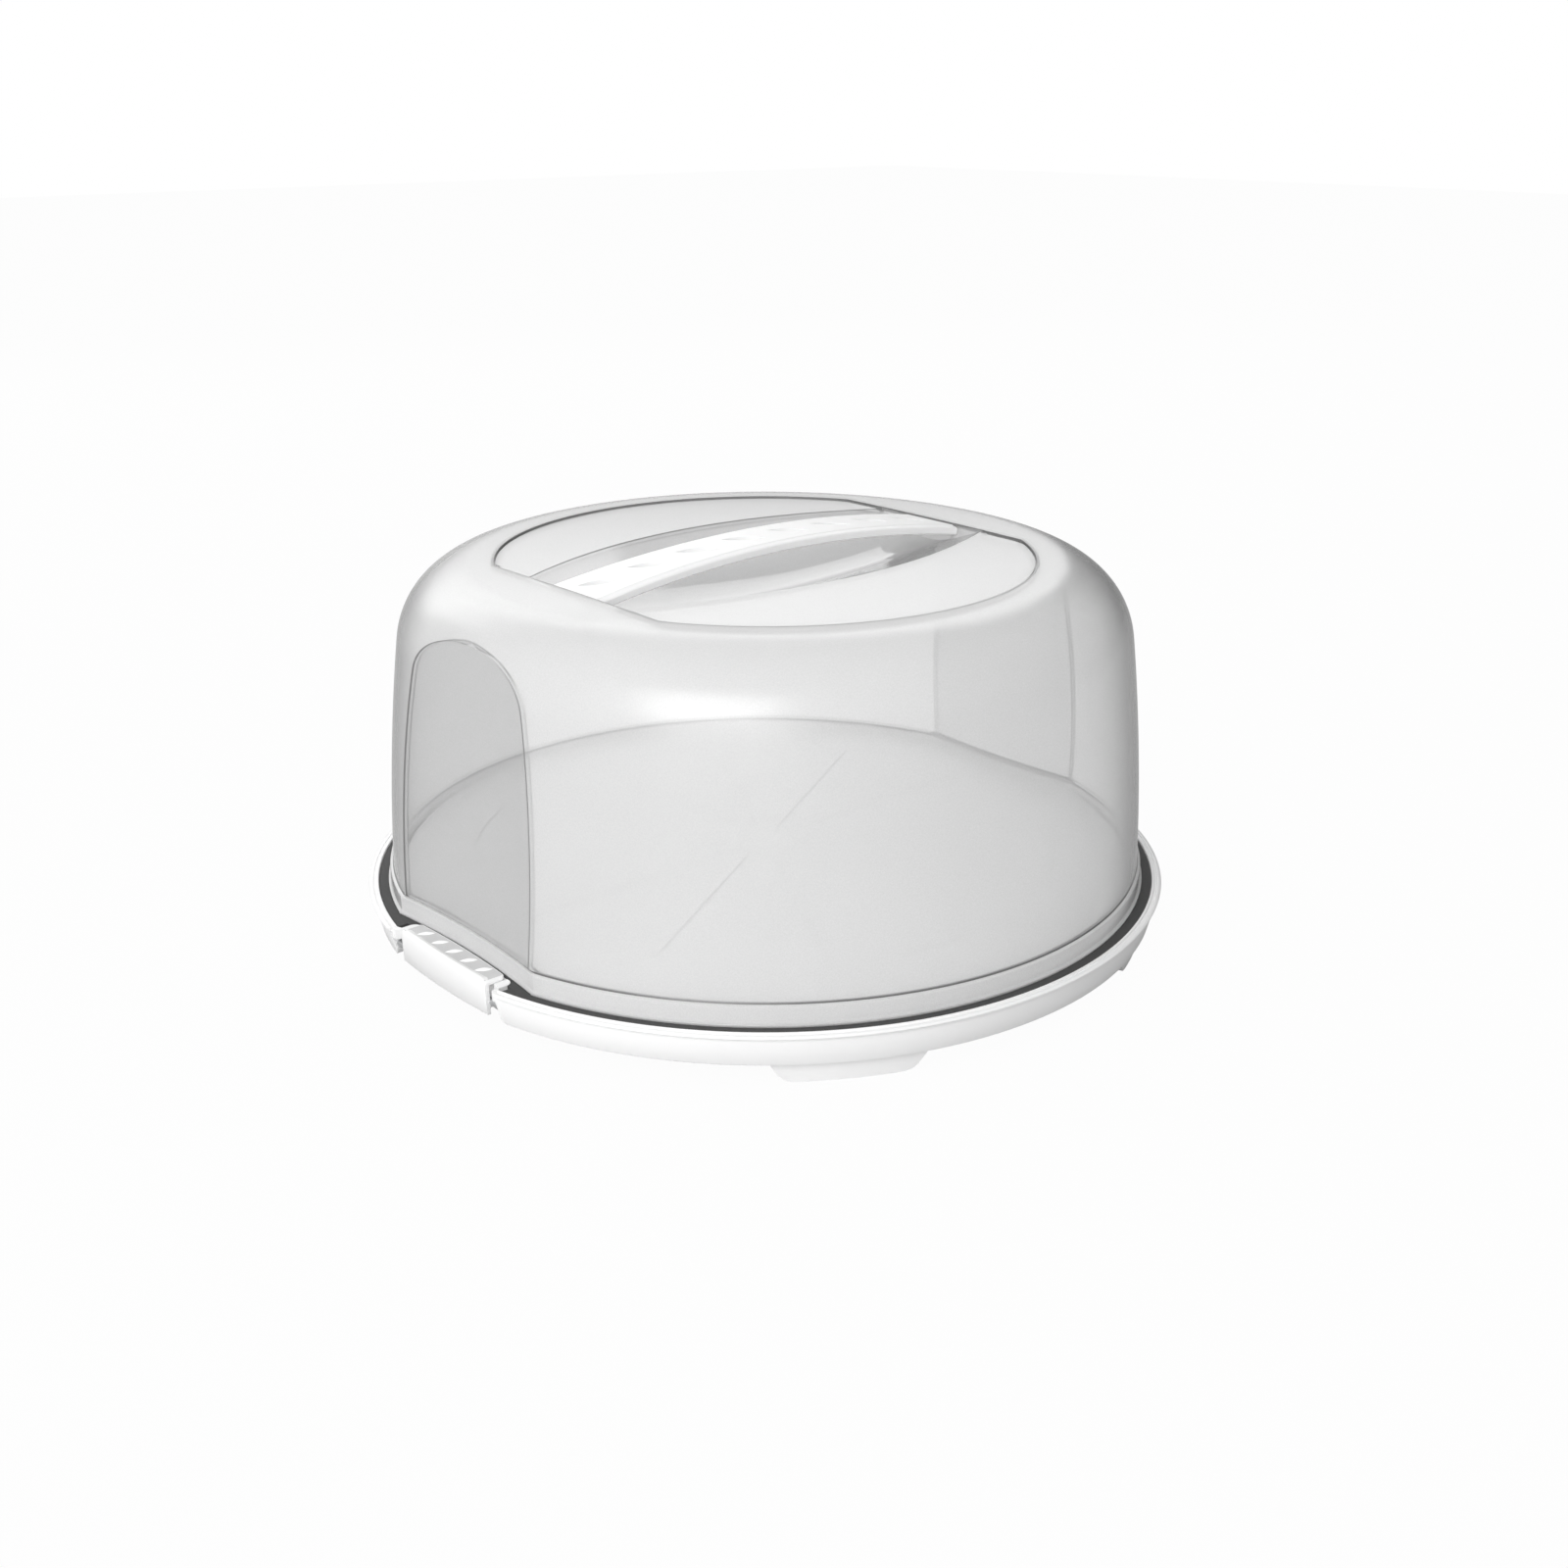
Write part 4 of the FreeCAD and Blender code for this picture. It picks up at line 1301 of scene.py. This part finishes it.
latch("latch_cover_left", "latch_left", "latch_left", 1)
latch("latch_cover_right", "latch_right", "latch_right", -1)

# %% [markdown]
# ## Floor
# The carrier stands on a white paper sweep. More light on it would wash the white carrier out, so the floor
# is shown nearly white to the camera by Light Path and keeps a small share of its own shading, the shadow.
# Rays that pass the clear hood see the same white. To all other light it is plain grey paper.

# %% Floor
floor_reach_m = 6.0
floor_white = 0.97
floor_mesh = bpy.data.meshes.new("floor")
floor_corners = [(x * floor_reach_m, y * floor_reach_m, 0) for x, y in ((-1, -1), (1, -1), (1, 1), (-1, 1))]
floor_mesh.from_pydata(floor_corners, [], [(0, 1, 2, 3)])
floor = bpy.data.objects.new("floor", floor_mesh)
bpy.context.scene.collection.objects.link(floor)
# Uncoated paper: matt, without any highlight.
paper, tree, shader = new_material("paper_white_sweep")
shader.inputs["Base Color"].default_value = colour("#c0c0c0")
shader.inputs["Roughness"].default_value = 0.9


def looked_at(tree, share):
    """How much is shown plain white: the share for what the camera sees, also through clear plastic."""
    path = add_node(tree, "ShaderNodeLightPath", {})
    seen = add_node(tree, "ShaderNodeMath", {
        0: path.outputs["Is Camera Ray"], 1: path.outputs["Is Transmission Ray"]}, operation="MAXIMUM")
    return add_node(tree, "ShaderNodeMath", {0: seen.outputs["Value"], 1: share}, operation="MULTIPLY")


glow = add_node(tree, "ShaderNodeEmission", {"Color": (1, 1, 1, 1), "Strength": 1.0})
mixed = add_node(tree, "ShaderNodeMixShader", {
    "Fac": looked_at(tree, floor_white).outputs["Value"], 1: shader.outputs["BSDF"],
    2: glow.outputs["Emission"]})
tree.links.new(mixed.outputs["Shader"], tree.nodes["Material Output"].inputs["Surface"])
floor_mesh.materials.append(paper)
print("floor", 2 * floor_reach_m, "m wide")

# %% [markdown]
# ## Light
# The room is brightest at the left and above and dim at the right, which gives the round hood its shading.
# An even white world would make it flat. Three softboxes, out of the camera's sight, give the highlights:
# their brightness is what a mirror would show, and it fixes how strong a reflection can get.

# %% World
sky_direction = (-0.86, 0.25, 0.45)
sky_dim = 0.03
sky_bright = 0.88
world = bpy.data.worlds.new("studio")
world.use_nodes = True
bpy.context.scene.world = world
tree = world.node_tree
sky = tree.nodes["Background"]
place = add_node(tree, "ShaderNodeTexCoord", {})
side = add_node(tree, "ShaderNodeVectorMath", {
    0: place.outputs["Generated"], 1: sky_direction}, operation="DOT_PRODUCT")
level = add_node(tree, "ShaderNodeMapRange", {
    "Value": side.outputs["Value"], "From Min": -1.0, "From Max": 1.0,
    "To Min": sky_dim, "To Max": sky_bright})
tree.links.new(level.outputs["Result"], sky.inputs["Strength"])
sky.inputs["Color"].default_value = (1, 1, 1, 1)
white = add_node(tree, "ShaderNodeBackground", {"Color": (1, 1, 1, 1), "Strength": 1.0})
mixed = add_node(tree, "ShaderNodeMixShader", {
    "Fac": looked_at(tree, 1.0).outputs["Value"], 1: sky.outputs["Background"],
    2: white.outputs["Background"]})
tree.links.new(mixed.outputs["Shader"], tree.nodes["World Output"].inputs["Surface"])
print("sky from", sky_dim, "to", sky_bright)


# %% Lamps
def softbox(name, place, aim, width, height, brightness):
    """A soft lamp, sizes in metres; the brightness is what a mirror would show of it, where 1 is white."""
    lamp = bpy.data.lights.new(name, "AREA")
    lamp.shape = "RECTANGLE"
    lamp.size = width
    lamp.size_y = height
    lamp.energy = math.pi * width * height * brightness
    lamp_holder = bpy.data.objects.new(name, lamp)
    lamp_holder.location = place
    lamp_holder.rotation_euler = (Vector(aim) - Vector(place)).to_track_quat("-Z", "Y").to_euler()
    lamp_holder.visible_camera = False
    bpy.context.scene.collection.objects.link(lamp_holder)
    print(name, round(lamp.energy, 1), "W")


softbox("left_softbox", place=(-1.25, -0.75, 1.15), aim=(0, 0, 0.1), width=1.1, height=0.9, brightness=4.4)
softbox("front_softbox", place=(-1.5, -1.2, 0.6), aim=(0, 0, 0.05), width=1.5, height=0.8, brightness=2.1)
softbox("back_softbox", place=(0.8, 1.6, 1.0), aim=(0, 0, 0.15), width=2.3, height=1.0, brightness=1.6)

# %% [markdown]
# ## Camera
# The camera stands where the photograph was taken from. Its place and lens were found by fitting the
# circles of rim and hood; the shift only frames the carrier as in the photograph.

# %% Camera
camera = bpy.data.cameras.new("camera")
camera.sensor_width = 36.0
camera.lens = 39.34
camera.shift_x = 0.01325
camera.shift_y = 0.16525
holder = bpy.data.objects.new("camera", camera)
holder.location = (-0.4758, -0.5493, 0.3276)
holder.rotation_euler = (math.radians(60.83), 0, math.radians(-40.83))
bpy.context.scene.collection.objects.link(holder)
bpy.context.scene.camera = holder
bpy.context.scene.view_settings.view_transform = "Standard"
print("camera", tuple(holder.location))
